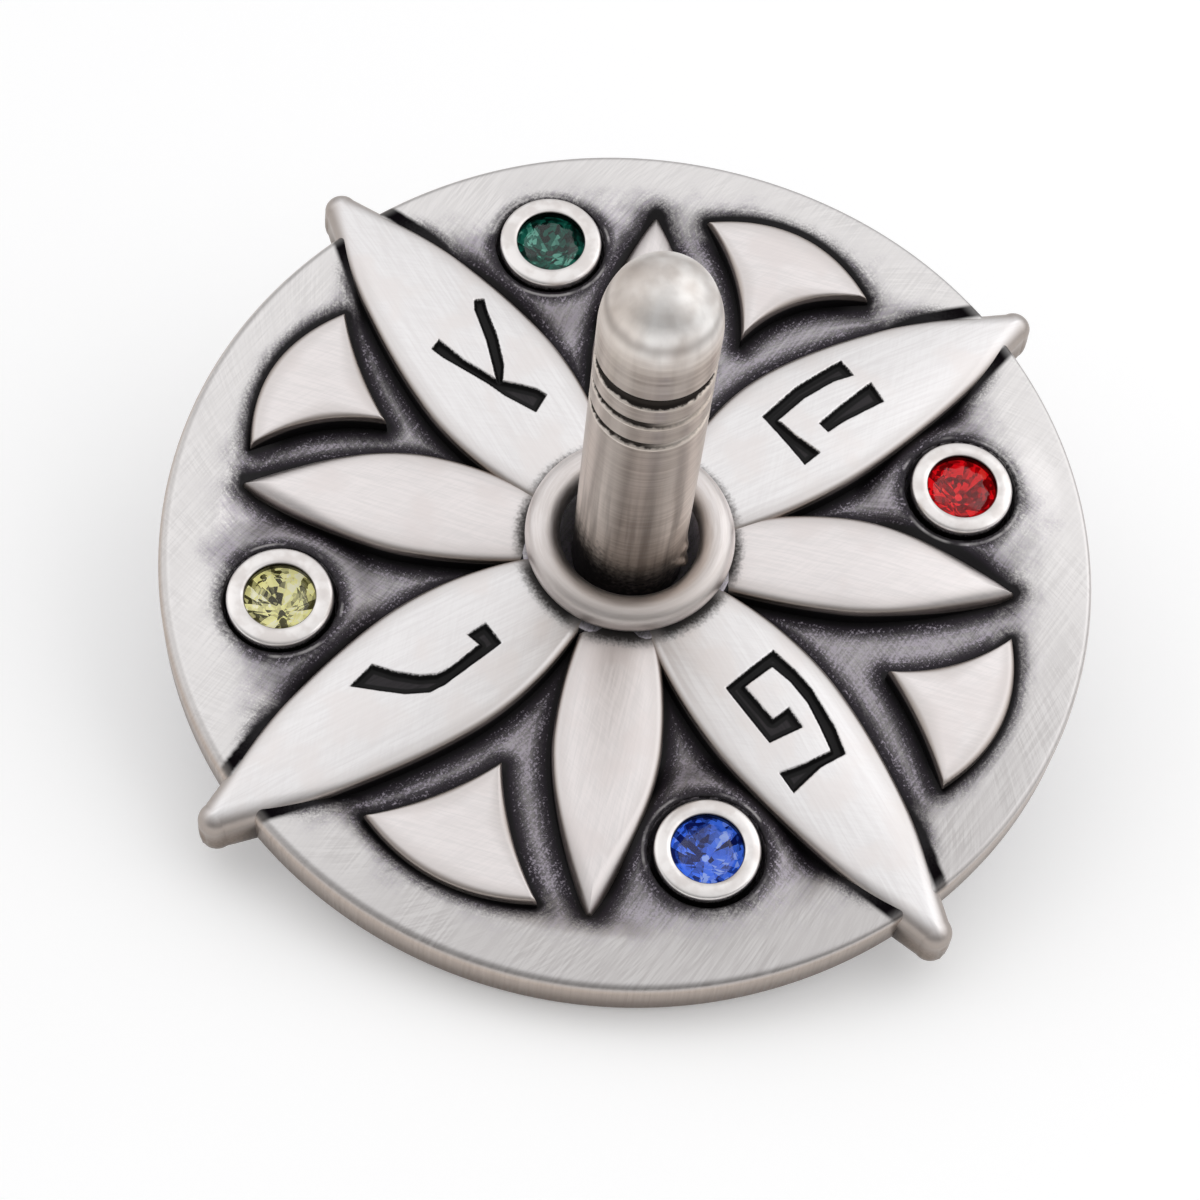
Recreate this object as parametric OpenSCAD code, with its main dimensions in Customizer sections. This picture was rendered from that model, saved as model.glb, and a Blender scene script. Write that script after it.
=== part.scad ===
// A flat dreidel: a cast disc with a raised flower on it, carried by a turned spindle.
// It stands upright on the point of its spindle. The spin axis is Z, the origin is that
// point, and the underside of the disc is one foot height above it.
// The disc was cut by hand, so every petal and every stone has a bearing of its own.
// Bearings are in degrees, counter-clockwise from +X, seen from above.

/* [Disc] */
// Diameter of the disc, without the petal tips that pass it
disc_d = 50; // [46:0.5:60]
// Thickness of the disc at its rim
disc_t = 2.8; // [2.6:0.1:4]
// Radius that eases the rim's upper edge
rim_top_round = 0.65; // [0.2:0.05:1]
// Radius that eases the rim's lower edge
rim_foot_round = 0.45; // [0.2:0.05:0.8]
// Width of the flat rim band round the dished field
rim_band_w = 2.6; // [2:0.1:3.2]
// Width of the slope from the rim band down to the field
dish_slope_w = 2.8; // [2:0.1:4]
// Depth of the dished field below the rim band
dish_depth = 0.9; // [0.5:0.05:1.1]

/* [Letter petals] */
// How far the tips of the letter petals pass the rim
letter_overhang = 2.2; // [0.5:0.1:3]
// Full width of a letter petal
letter_w = 8.1; // [6.5:0.1:8.6]
// Distance from the axis to its widest place
letter_swell = 12; // [11:0.25:13.5]
// Half width where it runs under the collar ring
letter_root_half_w = 2.2; // [1.5:0.1:2.4]
// Height of its crest above the rim band
letter_rise = 0.8; // [0.4:0.05:1.2]
// Drop from its crest to its long edges
letter_crown = 0.4; // [0.2:0.05:0.6]
// Drop from its crest to its tip
letter_fall = 0.95; // [0.5:0.05:1.2]
// Width of the round tip, twice its radius
letter_tip_w = 1.2; // [0.6:0.1:1.6]
// Bearings of the four letter petals
letter_bearings = [44.2, 135.9, 225.4, 315.2];

/* [Plain petals] */
// Distance from the disc's edge to the tip of a plain petal
plain_inset = 4.15; // [3:0.05:5]
// Full width of a plain petal
plain_w = 5.8; // [4.5:0.1:6.2]
// Distance from the axis to its widest place
plain_swell = 11; // [10:0.25:12.5]
// Half width where it runs under the collar ring
plain_root_half_w = 1.8; // [1.2:0.1:1.9]
// Height of its crest above the rim band
plain_rise = 0.65; // [0.3:0.05:1]
// Drop from its crest to its long edges
plain_crown = 0.3; // [0.15:0.05:0.5]
// Drop from its crest to its tip
plain_fall = 0.6; // [0.3:0.05:0.9]
// Width of the fine round tip, twice its radius
plain_tip_w = 0.3; // [0.1:0.05:0.6]
// Bearings of the four plain petals
plain_bearings = [2.8, 93.7, 178.9, 272.3];

/* [Curved triangles] */
// Distance from the disc's edge to the middle of a triangle's outer side
tile_inset = 3.2; // [3:0.1:4.5]
// Radius of the outer side, which bows out more than the rim does
tile_bow_r = 9; // [7.5:0.5:14]
// Bearing of the middle of the first triangle's outer side
tile_bow_bearing = 71.5; // [69:0.5:73]
// Gap between a triangle and the letter petal beside it
tile_letter_gap = 2.4; // [1.8:0.1:2.8]
// Gap between a triangle and the plain petal beside it
tile_plain_gap = 2.6; // [2:0.1:3]
// Height of a triangle's top above the rim band
tile_rise = 0.45; // [0.2:0.05:0.8]
// Drop from the middle of a triangle to its corners
tile_crown = 0.25; // [0.1:0.05:0.4]
// Bearing of the letter petal's axis that the first triangle follows
tile_letter_bearing = 45; // [43:0.5:47]
// Bearing of the plain petal's axis that the first triangle follows
tile_plain_bearing = 92; // [90:0.5:94]

/* [Stones] */
// Diameter of a stone
stone_d = 3.9; // [3:0.1:4.4]
// Distance from the disc's edge to the circle that the stones stand on
stone_inset = 6.45; // [6:0.05:7]
// Bearings of the four stones
stone_bearings = [20.3, 111.4, 200.2, 291.1];
// Where each stone stands, as a share of the circle's radius
stone_reach_shares = [0.995, 1.03, 1.01, 0.965];
// Slope of the crown's main facets
crown_angle = 30; // [25:1:36]
// Slope of the pavilion's main facets
pavilion_angle = 41; // [38:1:43]

/* [Bezel cups] */
// Width of a cup's round lip, from the opening to the outside
bezel_w = 0.95; // [0.6:0.05:1.1]
// How far the lip reaches in over the stone's edge
bezel_grip = 0.07; // [0.04:0.01:0.12]
// Height of the lip above the rim band
bezel_rise = 0.95; // [0.7:0.05:1.3]
// Width of the open gap round a cup in its pocket
pocket_gap = 0.28; // [0.1:0.02:0.4]
// Thickness of a cup's floor
cup_floor_t = 0.2; // [0.15:0.05:0.3]

/* [Collar ring] */
// Diameter of the wire that the ring is bent from
ring_wire_d = 1.9; // [1.4:0.1:2.2]
// Open gap between the ring and the spindle
ring_gap = 0.7; // [0.4:0.05:1]
// Height of the ring's seat above the rim band
ring_seat_rise = 0.35; // [0.1:0.05:0.4]
// Width of the free groove round the ring, where the petals stop
ring_groove_w = 0.3; // [0.15:0.05:0.5]

/* [Spindle] */
// Diameter of the spindle's shank
shank_d = 6; // [5.6:0.1:7]
// Diameter of its thinner end, which goes through the disc and ends in the foot
tenon_d = 5; // [4:0.1:5.4]
// Height of the spindle's top above the rim band
handle_h = 26.8; // [20:0.2:34]
// Height of the disc's underside above the spindle's point
foot_h = 8; // [6:0.2:12]
// Half angle of the foot's cone
foot_angle = 32; // [25:1:40]
// Radius of the ball that the foot ends in
point_r = 0.8; // [0.4:0.05:1.2]
// Height of the domed end
dome_h = 2; // [1.4:0.1:2.4]
// Radius of the domed end where it starts
dome_base_r = 2.6; // [2:0.05:2.9]
// Height of the neck that narrows towards the dome
neck_h = 2.2; // [1.2:0.1:3]
// Width of the ledge between the neck and the dome
neck_ledge = 0.08; // [0.02:0.02:0.16]
// Distance from the top down to the first turned groove
groove_top_drop = 6.5; // [5:0.1:8]
// Distance between the turned grooves
groove_pitch = 2; // [1.4:0.1:2.6]
// Width of the first groove
groove_wide_w = 0.9; // [0.5:0.05:1.1]
// Width of the other grooves
groove_fine_w = 0.55; // [0.3:0.05:0.7]
// Number of turned grooves
groove_count = 3; // [1:1:4]
// Radial clearance between the spindle and the disc's bore
bore_fit = 0.01; // [0.005:0.005:0.03]

/* [Hidden] */
$fn = 120;
pewter = [0.78, 0.77, 0.76];
worn_pewter = [0.72, 0.69, 0.66];
// How far a cutting body runs past what it cuts
overrun = 1;
// Steps that a rounded edge of a profile is drawn in
arc_steps = 8;
// Sides of the large arcs of the petals
wide_fn = 360;

// Heights
disc_r = disc_d / 2;
under_z = foot_h;
deck_z = under_z + disc_t;
field_z = deck_z - dish_depth;
dish_r = disc_r - rim_band_w;
field_r = dish_r - dish_slope_w;
shank_r = shank_d / 2;
tenon_r = tenon_d / 2;
bore_r = tenon_r + bore_fit;

// Collar ring
wire_r = ring_wire_d / 2;
ring_mid_r = shank_r + ring_gap + wire_r;
ring_seat_z = deck_z + ring_seat_rise;
ring_well_r = ring_mid_r - wire_r;
ring_groove_r = ring_mid_r + wire_r + ring_groove_w;

// Petals
letter_half_w = letter_w / 2;
letter_reach = disc_r + letter_overhang;
plain_half_w = plain_w / 2;
plain_reach = disc_r - plain_inset;
letter_tip_r = letter_tip_w / 2;
plain_tip_r = plain_tip_w / 2;
letter_arc_r = tip_arc_r(letter_reach - letter_swell, letter_half_w, letter_tip_r);
plain_arc_r = tip_arc_r(plain_reach - plain_swell, plain_half_w, plain_tip_r);
tile_r = disc_r - tile_inset;

// Stones and cups, from the lip down
stone_r = stone_d / 2;
stone_circle_r = disc_r - stone_inset;
lip_r = stone_r - bezel_grip;
lip_tube_r = bezel_w / 2;
bezel_r = lip_r + bezel_w;
bezel_top_z = deck_z + bezel_rise;
lip_mid_z = bezel_top_z - lip_tube_r;
// A facet's edge waves a little above the girdle, and the lip clears it
lip_clear = bezel_grip + bezel_grip;
stone_clear = 0.01;
girdle_t = 0.08;
girdle_top_z = lip_mid_z - lip_tube_r / 2 - lip_clear;
girdle_low_z = girdle_top_z - girdle_t;
// The table, the girdle's break facets and the culet, as shares of the stone's radius
table_share = 0.58;
break_share = 0.8;
culet_share = 0.1;
pavilion_break_share = 0.25;
crown_h = stone_r * (1 - table_share) * tan(crown_angle);
pavilion_h = stone_r * (1 - culet_share) * tan(pavilion_angle);
table_z = girdle_top_z + crown_h;
culet_z = girdle_low_z - pavilion_h;
cup_floor_z = culet_z - cup_floor_t / 2;
cup_low_z = cup_floor_z - cup_floor_t;
// The cup's bore below the ledge, as a share of the stone's radius
ledge_share = 0.78;
ledge_r = stone_r * ledge_share;
// Directions in which a brilliant has a main facet, and half and a quarter of the step between
mains = 8;
main_step = 360 / mains;
half_step = main_step / 2;
quarter_step = main_step / 4;
ledge_z = girdle_low_z - (stone_r - ledge_r * cos(quarter_step)) * tan(pavilion_angle);

// Spindle
top_z = deck_z + handle_h;
dome_z = top_z - dome_h;
neck_z = dome_z - neck_h;
first_groove_z = top_z - groove_top_drop;

// Radius of the arc that falls by rise over run and starts level
function fall_arc_r(run, rise) = (run * run + rise * rise) / (2 * rise);

// Radius of a petal's side arc that starts level at its half width and meets its round tip
// without a corner, over the run from the widest place to the end of the tip
function tip_arc_r(run, half_w, tip_r) =
    ((run - tip_r) * (run - tip_r) + half_w * half_w - tip_r * tip_r) / (2 * (half_w - tip_r));

// Points of an arc in the plane of a profile, from one angle to another
function arc_points(centre, r, from, to) = [
    for (i = [0 : arc_steps])
        let (a = from + (to - from) * i / arc_steps)
        [centre.x + r * cos(a), centre.y + r * sin(a)]
];

// Points of the dish's slope: half a wave of a cosine, from the rim band to the field
function slope_points() = [
    for (i = [0 : arc_steps])
        [dish_r - dish_slope_w * i / arc_steps,
         deck_z - dish_depth * (1 - cos(180 * i / arc_steps)) / 2]
];

// Two side arcs of one radius over the stretch between two distances from the axis
module leaf_stretch(arc_r, half_w, swell, from, to) {
    intersection() {
        translate([swell, half_w - arc_r]) circle(arc_r, $fn = wide_fn);
        translate([swell, arc_r - half_w]) circle(arc_r, $fn = wide_fn);
        translate([from, -half_w]) square([to - from, half_w * 2]);
    }
}

// Plan of a leaf along +X: a long taper to its round tip and a short one to its root
module leaf_plan(arc_r, half_w, swell, root_half_w, reach, tip_r) {
    root = ring_mid_r;
    tip_x = reach - tip_r;
    leaf_stretch(arc_r, half_w, swell, swell, tip_x + tip_r * (tip_x - swell) / (arc_r - tip_r));
    translate([tip_x, 0]) circle(tip_r);
    leaf_stretch(fall_arc_r(swell - root, half_w - root_half_w), half_w, swell, root, swell);
}

// A bar bent like a hoop, whose upper side is crowned across and falls along its length
module crown_bar(crest_x, crest_z, across_r, along_r) {
    translate([crest_x, 0, crest_z - along_r])
        rotate([90, 0, 0])
        rotate_extrude($fn = wide_fn)
        translate([along_r - across_r, 0])
        circle(across_r);
}

// One petal along +X, from the disc's underside up to its crowned face
module petal(arc_r, half_w, swell, root_half_w, reach, tip_r, rise, crown, fall) {
    intersection() {
        translate([0, 0, under_z])
            linear_extrude(disc_t + rise)
            leaf_plan(arc_r, half_w, swell, root_half_w, reach, tip_r);
        crown_bar(swell, deck_z + rise, fall_arc_r(half_w, crown), fall_arc_r(reach - swell, fall));
    }
}

module letter_petals() {
    for (bearing = letter_bearings)
        rotate(bearing)
            petal(letter_arc_r, letter_half_w, letter_swell, letter_root_half_w,
                  letter_reach, letter_tip_r, letter_rise, letter_crown, letter_fall);
}

module plain_petals() {
    for (bearing = plain_bearings)
        rotate(bearing)
            petal(plain_arc_r, plain_half_w, plain_swell, plain_root_half_w,
                  plain_reach, plain_tip_r, plain_rise, plain_crown, plain_fall);
}

// Plan of the first triangle: what its outer circle leaves between two petals and their gaps
module tile_plan() {
    difference() {
        rotate(tile_bow_bearing)
            translate([tile_r - tile_bow_r, 0])
            circle(tile_bow_r, $fn = wide_fn);
        rotate(tile_letter_bearing)
            translate([letter_swell, letter_half_w - letter_arc_r])
            circle(letter_arc_r + tile_letter_gap, $fn = wide_fn);
        rotate(tile_plain_bearing)
            translate([plain_swell, plain_arc_r - plain_half_w])
            circle(plain_arc_r + tile_plain_gap, $fn = wide_fn);
        rotate(tile_plain_bearing) translate([-disc_r, 0]) square([disc_d, disc_r]);
        rotate(tile_letter_bearing) translate([-disc_r, -disc_r]) square([disc_d, disc_r]);
    }
}

// A triangle's crest lies a third of the way in from its outer side
tile_mid_r = tile_r - (tile_r - plain_swell) / 3;
tile_half_l = (tile_r - plain_swell) * 2 / 3;
tile_crown_r = fall_arc_r(tile_half_l, tile_crown);

module curved_triangles() {
    for (quarter = [0 : 3])
        rotate(quarter * 90)
            intersection() {
                translate([0, 0, under_z + disc_t / 2])
                    linear_extrude(disc_t / 2 + tile_rise)
                    tile_plan();
                rotate(tile_bow_bearing)
                    translate([tile_mid_r, 0, deck_z + tile_rise - tile_crown_r])
                    sphere(tile_crown_r, $fn = wide_fn);
            }
}

// The bare disc: eased rim, flat band, and a dished field inside it
module disc_body() {
    rotate_extrude($fn = wide_fn)
        polygon(concat(
            [[0, under_z]],
            arc_points([disc_r - rim_foot_round, under_z + rim_foot_round],
                       rim_foot_round, -90, 0),
            arc_points([disc_r - rim_top_round, deck_z - rim_top_round],
                       rim_top_round, 0, 90),
            slope_points(),
            [[0, field_z]]
        ));
}

// The ring's flat seat. The well inside it is open, and the spindle's shoulder stands on its floor
module ring_seat() {
    difference() {
        translate([0, 0, under_z]) cylinder(h = ring_seat_z - under_z, r = ring_groove_r);
        translate([0, 0, field_z]) cylinder(h = ring_seat_z, r = ring_well_r);
    }
}

// Room for the ring and its groove, cut out of the petals' roots
module ring_room() {
    translate([0, 0, ring_seat_z]) cylinder(h = letter_rise + overrun, r = ring_groove_r);
    translate([0, 0, field_z]) cylinder(h = disc_t, r = ring_well_r);
}

// Places what follows at stone number i, 0 to 3
module at_stone(i) {
    rotate(stone_bearings[i])
        translate([stone_circle_r * stone_reach_shares[i], 0, 0])
        children();
}

module pockets() {
    for (i = [0 : 3])
        at_stone(i)
            translate([0, 0, cup_low_z])
            cylinder(h = disc_t + overrun, r = bezel_r + pocket_gap);
}

module disc() {
    color(pewter)
        difference() {
            union() {
                disc_body();
                letter_petals();
                plain_petals();
                curved_triangles();
                ring_seat();
            }
            ring_room();
            pockets();
            translate([0, 0, under_z - overrun])
                cylinder(h = disc_t + overrun * 2, r = bore_r);
        }
}

// Bent from round wire and closed: it lies on the flat seat round the spindle
module collar_ring() {
    color(pewter)
        translate([0, 0, ring_seat_z + wire_r])
        rotate_extrude()
        translate([ring_mid_r, 0])
        circle(wire_r);
}

// One turned groove: a ring of wire sunk into the shank by a share of its own radius
groove_sink_share = 0.8;
module turned_groove(z, w) {
    tube_r = w / 2 / sqrt(1 - (1 - groove_sink_share) * (1 - groove_sink_share));
    translate([0, 0, z])
        rotate_extrude()
        translate([shank_r + tube_r * (1 - groove_sink_share), 0])
        circle(tube_r, $fn = 48);
}

// The rod: ball point, cone, tenon, shoulder, straight shank, narrowing neck, ledge and dome
point_tangent_r = point_r * cos(foot_angle);
point_tangent_z = point_r * (1 - sin(foot_angle));
cone_top_z = point_tangent_z + (tenon_r - point_tangent_r) / tan(foot_angle);
neck_top_r = dome_base_r + neck_ledge;
neck_arc_r = fall_arc_r(neck_h, shank_r - neck_top_r);
neck_arc_angle = asin(neck_h / neck_arc_r);
dome_r = fall_arc_r(dome_base_r, dome_h);
dome_arc_angle = asin((dome_r - dome_h) / dome_r);
module spindle() {
    color(worn_pewter)
        difference() {
            rotate_extrude()
                polygon(concat(
                    [[0, 0]],
                    arc_points([0, point_r], point_r, -90 + 90 / arc_steps, -foot_angle),
                    [[tenon_r, cone_top_z], [tenon_r, field_z], [shank_r, field_z]],
                    arc_points([shank_r - neck_arc_r, neck_z], neck_arc_r, 0, neck_arc_angle),
                    arc_points([0, top_z - dome_r], dome_r, dome_arc_angle, 90)
                ));
            for (i = [0 : groove_count - 1])
                turned_groove(first_groove_z - groove_pitch * i,
                              i == 0 ? groove_wide_w : groove_fine_w);
        }
}

// A cup: tube with a round lip rolled over the stone, an inner ledge and a closed floor
module bezel(i) {
    color(pewter)
        at_stone(i)
        difference() {
            union() {
                translate([0, 0, cup_low_z]) cylinder(h = lip_mid_z - cup_low_z, r = bezel_r);
                translate([0, 0, lip_mid_z])
                    rotate_extrude()
                    translate([lip_r + lip_tube_r, 0])
                    circle(lip_tube_r, $fn = 48);
            }
            translate([0, 0, cup_floor_z]) cylinder(h = bezel_top_z, r = ledge_r);
            translate([0, 0, ledge_z])
                cylinder(h = girdle_top_z + lip_clear - ledge_z, r = stone_r + stone_clear);
            translate([0, 0, girdle_top_z]) cylinder(h = bezel_top_z - girdle_top_z, r = lip_r);
        }
}

// Cuts away what lies above a facet that falls outwards through (x, z)
module upper_facet(bearing, x, z, slope) {
    rotate(bearing)
        translate([x, 0, z])
        rotate([0, slope, 0])
        translate([-stone_d, -stone_d, 0])
        cube([stone_d * 2, stone_d * 2, stone_d]);
}

// Cuts away what lies below a facet that rises outwards through (x, z)
module lower_facet(bearing, x, z, slope) {
    rotate(bearing)
        translate([x, 0, z])
        rotate([0, -slope, 0])
        translate([-stone_d, -stone_d, -stone_d])
        cube([stone_d * 2, stone_d * 2, stone_d]);
}

// Where the ridges between the main facets are broken, above and below the girdle
break_r = stone_r * break_share;
break_h = (stone_r - break_r * cos(half_step)) * tan(crown_angle);
low_break_r = stone_r * pavilion_break_share;
low_break_h = (stone_r - low_break_r * cos(half_step)) * tan(pavilion_angle);
// The star facets reach the table half a step from the mains, so those end there in points
star_r = stone_r * table_share * cos(half_step);
star_slope = atan((crown_h - break_h) / (break_r - star_r));
half_slope = atan(break_h / (stone_r - break_r * cos(quarter_step)));
low_half_slope = atan(low_break_h / (stone_r - low_break_r * cos(quarter_step)));

// A round brilliant: table, eight mains, eight stars and sixteen halves over the girdle,
// and sixteen halves, eight mains and a small culet under it
module stone(i, tint) {
    color(tint)
        at_stone(i)
        difference() {
            translate([0, 0, culet_z]) cylinder(h = table_z - culet_z, r = stone_r);
            for (k = [0 : mains - 1]) {
                upper_facet(k * main_step, stone_r, girdle_top_z, crown_angle);
                upper_facet(k * main_step + half_step, star_r, table_z, star_slope);
                lower_facet(k * main_step, stone_r, girdle_low_z, pavilion_angle);
            }
            for (k = [0 : mains * 2 - 1]) {
                upper_facet(k * half_step + quarter_step, stone_r, girdle_top_z, half_slope);
                lower_facet(k * half_step + quarter_step, stone_r, girdle_low_z, low_half_slope);
            }
        }
}

disc();
spindle();
collar_ring();
bezel(0);  // bezel_red
bezel(1);  // bezel_green
bezel(2);  // bezel_yellow
bezel(3);  // bezel_blue
stone(0, [0.75, 0.03, 0.08]);  // stone_red
stone(1, [0.05, 0.35, 0.27]);  // stone_green
stone(2, [0.85, 0.8, 0.4]);  // stone_yellow
stone(3, [0.12, 0.28, 0.75]);  // stone_blue
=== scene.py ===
# A flat dreidel of silver-plated pewter: a cast disc with a raised flower, four stones set in
# cups, a wire ring round the foot of the handle, and a turned spindle. Lengths are in
# millimetres in the functions and become metres where a mesh is made.
import bpy
import math
import numpy as np
from mathutils import Matrix


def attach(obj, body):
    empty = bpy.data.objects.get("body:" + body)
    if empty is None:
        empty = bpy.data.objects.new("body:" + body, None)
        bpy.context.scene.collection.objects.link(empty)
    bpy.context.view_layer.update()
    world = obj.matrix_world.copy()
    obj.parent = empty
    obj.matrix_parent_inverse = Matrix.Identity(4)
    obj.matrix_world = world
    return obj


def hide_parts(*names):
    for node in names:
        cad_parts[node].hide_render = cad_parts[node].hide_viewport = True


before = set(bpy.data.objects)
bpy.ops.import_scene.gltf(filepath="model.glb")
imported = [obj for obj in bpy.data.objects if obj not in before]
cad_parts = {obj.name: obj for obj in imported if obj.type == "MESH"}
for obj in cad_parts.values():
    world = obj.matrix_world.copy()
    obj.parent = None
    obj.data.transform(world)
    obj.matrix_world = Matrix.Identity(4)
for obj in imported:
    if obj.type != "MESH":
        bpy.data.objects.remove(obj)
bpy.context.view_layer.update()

# The studio: the top lies on a pale table, at rest on the point of its spindle and on the rim
# between its two front petals, so the table is a plane through both. A camera with a long lens
# looks down on the disc, and soft pale light comes from above and behind.
mm = 0.001
scene = bpy.context.scene
scene.view_settings.view_transform = "Standard"


def linear(hex_colour):
    """sRGB hex to linear RGBA: divide by 12.92 near black, else ((c + 0.055) / 1.055) ** 2.4."""
    c = np.array([int(hex_colour[i:i + 2], 16) for i in (1, 3, 5)]) / 255.0
    c = np.where(c <= 0.04045, c / 12.92, ((c + 0.055) / 1.055) ** 2.4)
    return (float(c[0]), float(c[1]), float(c[2]), 1.0)


def put(tree, kind, inputs=None, **settings):
    """Adds one node with its settings, then fills its inputs: from a node's first live
    output, from a given output, or with a plain value."""
    node = tree.nodes.new(kind)
    for name, value in settings.items():
        setattr(node, name, value)
    for name, item in (inputs or {}).items():
        if isinstance(item, bpy.types.Node):
            item = next(output for output in item.outputs if output.enabled)
        if isinstance(item, bpy.types.NodeSocket):
            tree.links.new(item, node.inputs[name])
        else:
            node.inputs[name].default_value = item
    return node


def empty_material(name):
    """A material with an empty node tree."""
    material = bpy.data.materials.new(name)
    material.use_nodes = True
    material.node_tree.nodes.clear()
    return material, material.node_tree


camera_data = bpy.data.cameras.new("camera")
camera = bpy.data.objects.new("camera", camera_data)
scene.collection.objects.link(camera)
lens_length, film_width = 92.07, 36
camera_data.lens = lens_length
camera_data.sensor_width = film_width
camera_data.shift_x = -0.001
camera_data.shift_y = -0.0005
camera_data.clip_start = 0.01
camera_right = (0.98754, 0.14601, 0.05869)
camera_up = (-0.1569, 0.88517, 0.43802)
camera_back = (0.0120, -0.44177, 0.89705)
turn = Matrix((camera_right, camera_up, camera_back)).transposed()
camera_place = (0.985, -75.117, 156.412)
camera.matrix_world = (Matrix.Translation([p * mm for p in camera_place]) @ turn.to_4x4())
scene.camera = camera

under_z, rim_z, disc_r = 8.0, 10.8, 25.0
table_slope = under_z / disc_r
table_half = 700.0
table_x = np.array([-1, 1, 1, -1]) * table_half
table_y = np.array([-1, -1, 1, 1]) * table_half
table_mesh = bpy.data.meshes.new("table")
table_mesh.from_pydata((np.stack([table_x, table_y, -table_slope * table_y], axis=1)
                        * mm).tolist(), [], [(0, 1, 2, 3)])
table = bpy.data.objects.new("table", table_mesh)
scene.collection.objects.link(table)

# Matt white photo board. A share of its white is its own, so the picture's ground is white
# while the board still takes the top's soft shadow. From below it isn't there.
board, tree = empty_material("matt white photo board")
path = put(tree, "ShaderNodeLightPath")
seen = put(tree, "ShaderNodeMath", {0: path.outputs["Is Camera Ray"],
                                    1: path.outputs["Is Glossy Ray"]}, operation="MAXIMUM")
seen = put(tree, "ShaderNodeMath", {0: seen, 1: path.outputs["Is Transmission Ray"]},
           operation="MAXIMUM")
paint = put(tree, "ShaderNodeBsdfDiffuse", {"Color": linear("#f2f2f2")})
white = put(tree, "ShaderNodeEmission", {"Color": (0.21, 0.21, 0.21, 1), "Strength": seen})
lit = put(tree, "ShaderNodeAddShader", {0: paint, 1: white})
clear = put(tree, "ShaderNodeBsdfTransparent")
side = put(tree, "ShaderNodeNewGeometry")
both = put(tree, "ShaderNodeMixShader", {0: side.outputs["Backfacing"], 1: lit, 2: clear})
put(tree, "ShaderNodeOutputMaterial", {"Surface": both})
table_mesh.materials.append(board)

# The room: a pale studio, bright overhead and brightest at a large white card behind the top on
# the left, with a soft box on either side, and duller towards the front and the floor.
world = bpy.data.worlds.new("pale studio")
scene.world = world
world.use_nodes = True
tree = world.node_tree
tree.nodes.clear()
ray = put(tree, "ShaderNodeTexCoord").outputs["Generated"]
to_light = put(tree, "ShaderNodeVectorMath", {0: ray, 1: (0.02, 0.56, 0.83)},
               operation="DOT_PRODUCT")
bright = put(tree, "ShaderNodeMapRange", {0: to_light, 1: -0.3, 2: 0.9, 3: 0.2, 4: 0.78},
             interpolation_type="SMOOTHSTEP")
to_card = put(tree, "ShaderNodeVectorMath", {0: ray, 1: (-0.32, 0.42, 0.85)},
              operation="DOT_PRODUCT")
card = put(tree, "ShaderNodeMapRange", {0: to_card, 1: 0.78, 2: 0.99, 3: 0.0, 4: 0.24},
           interpolation_type="SMOOTHSTEP")
bright = put(tree, "ShaderNodeMath", {0: bright, 1: card}, operation="ADD")
sideways = put(tree, "ShaderNodeSeparateXYZ", {0: ray})
left_box = put(tree, "ShaderNodeMapRange", {0: sideways, 1: -0.62, 2: -0.92, 3: 0.0, 4: 0.42},
               interpolation_type="SMOOTHSTEP")
right_box = put(tree, "ShaderNodeMapRange", {0: sideways, 1: 0.62, 2: 0.92, 3: 0.0, 4: 0.04},
                interpolation_type="SMOOTHSTEP")
bright = put(tree, "ShaderNodeMath", {0: bright, 1: left_box}, operation="ADD")
level = put(tree, "ShaderNodeMath", {0: bright, 1: right_box}, operation="ADD")
sky = put(tree, "ShaderNodeBackground", {"Color": (0.995, 0.995, 1.0, 1), "Strength": level})
put(tree, "ShaderNodeOutputWorld", {"Surface": sky})


def soft_box(name, place, aim, width, depth, power):
    """An area lamp at a place, turned so that its -Z looks at the aim."""
    lamp_data = bpy.data.lights.new(name, "AREA")
    lamp_data.shape = "RECTANGLE"
    lamp_data.size = width * mm
    lamp_data.size_y = depth * mm
    lamp_data.energy = power
    lamp = bpy.data.objects.new(name, lamp_data)
    scene.collection.objects.link(lamp)
    back = np.array(place, float) - np.array(aim, float)
    back /= np.linalg.norm(back)
    across = np.cross((0, 0, 1), back)
    across /= np.linalg.norm(across)
    lamp.matrix_world = (Matrix.Translation([p * mm for p in place])
                         @ Matrix((across, np.cross(back, across), back)).transposed()
                         .to_4x4())


disc_middle = (0, 0, 10)
soft_box("window_light", (310, 110, 250), disc_middle, 560, 460, 0.5)
soft_box("fill_light", (-260, 60, 240), disc_middle, 260, 260, 0.04)

# The casting, first part: the disc with its rim, the dished field and the seat of the ring.
# It is cast pewter, silver plated, blackened all over and then brushed by hand, so that the
# rim is bright, the field stays dark, and the brush's strokes show where one meets the other.
dish_depth, dish_r, dish_slope_w = 0.9, 22.4, 2.8
field_z, field_r = rim_z - dish_depth, dish_r - dish_slope_w
bore_r, under_round = 2.51, 0.45
ring_mid_r, ring_seat_z, ring_well_r, ring_seat_round = 4.65, 11.15, 3.7, 0.35
# The four stones' bearings, and their distances from the spin axis as shares of one circle's
stone_circle_r = 18.55
stone_bearings = (20.3, 111.4, 200.2, 291.1)
stone_reach_shares = (0.995, 1.03, 1.01, 0.965)
stone_places = [(stone_circle_r * share * math.cos(math.radians(a)),
                 stone_circle_r * share * math.sin(math.radians(a)))
                for share, a in zip(stone_reach_shares, stone_bearings)]
pocket_r, cup_low_z = 3.11, 8.99


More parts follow.
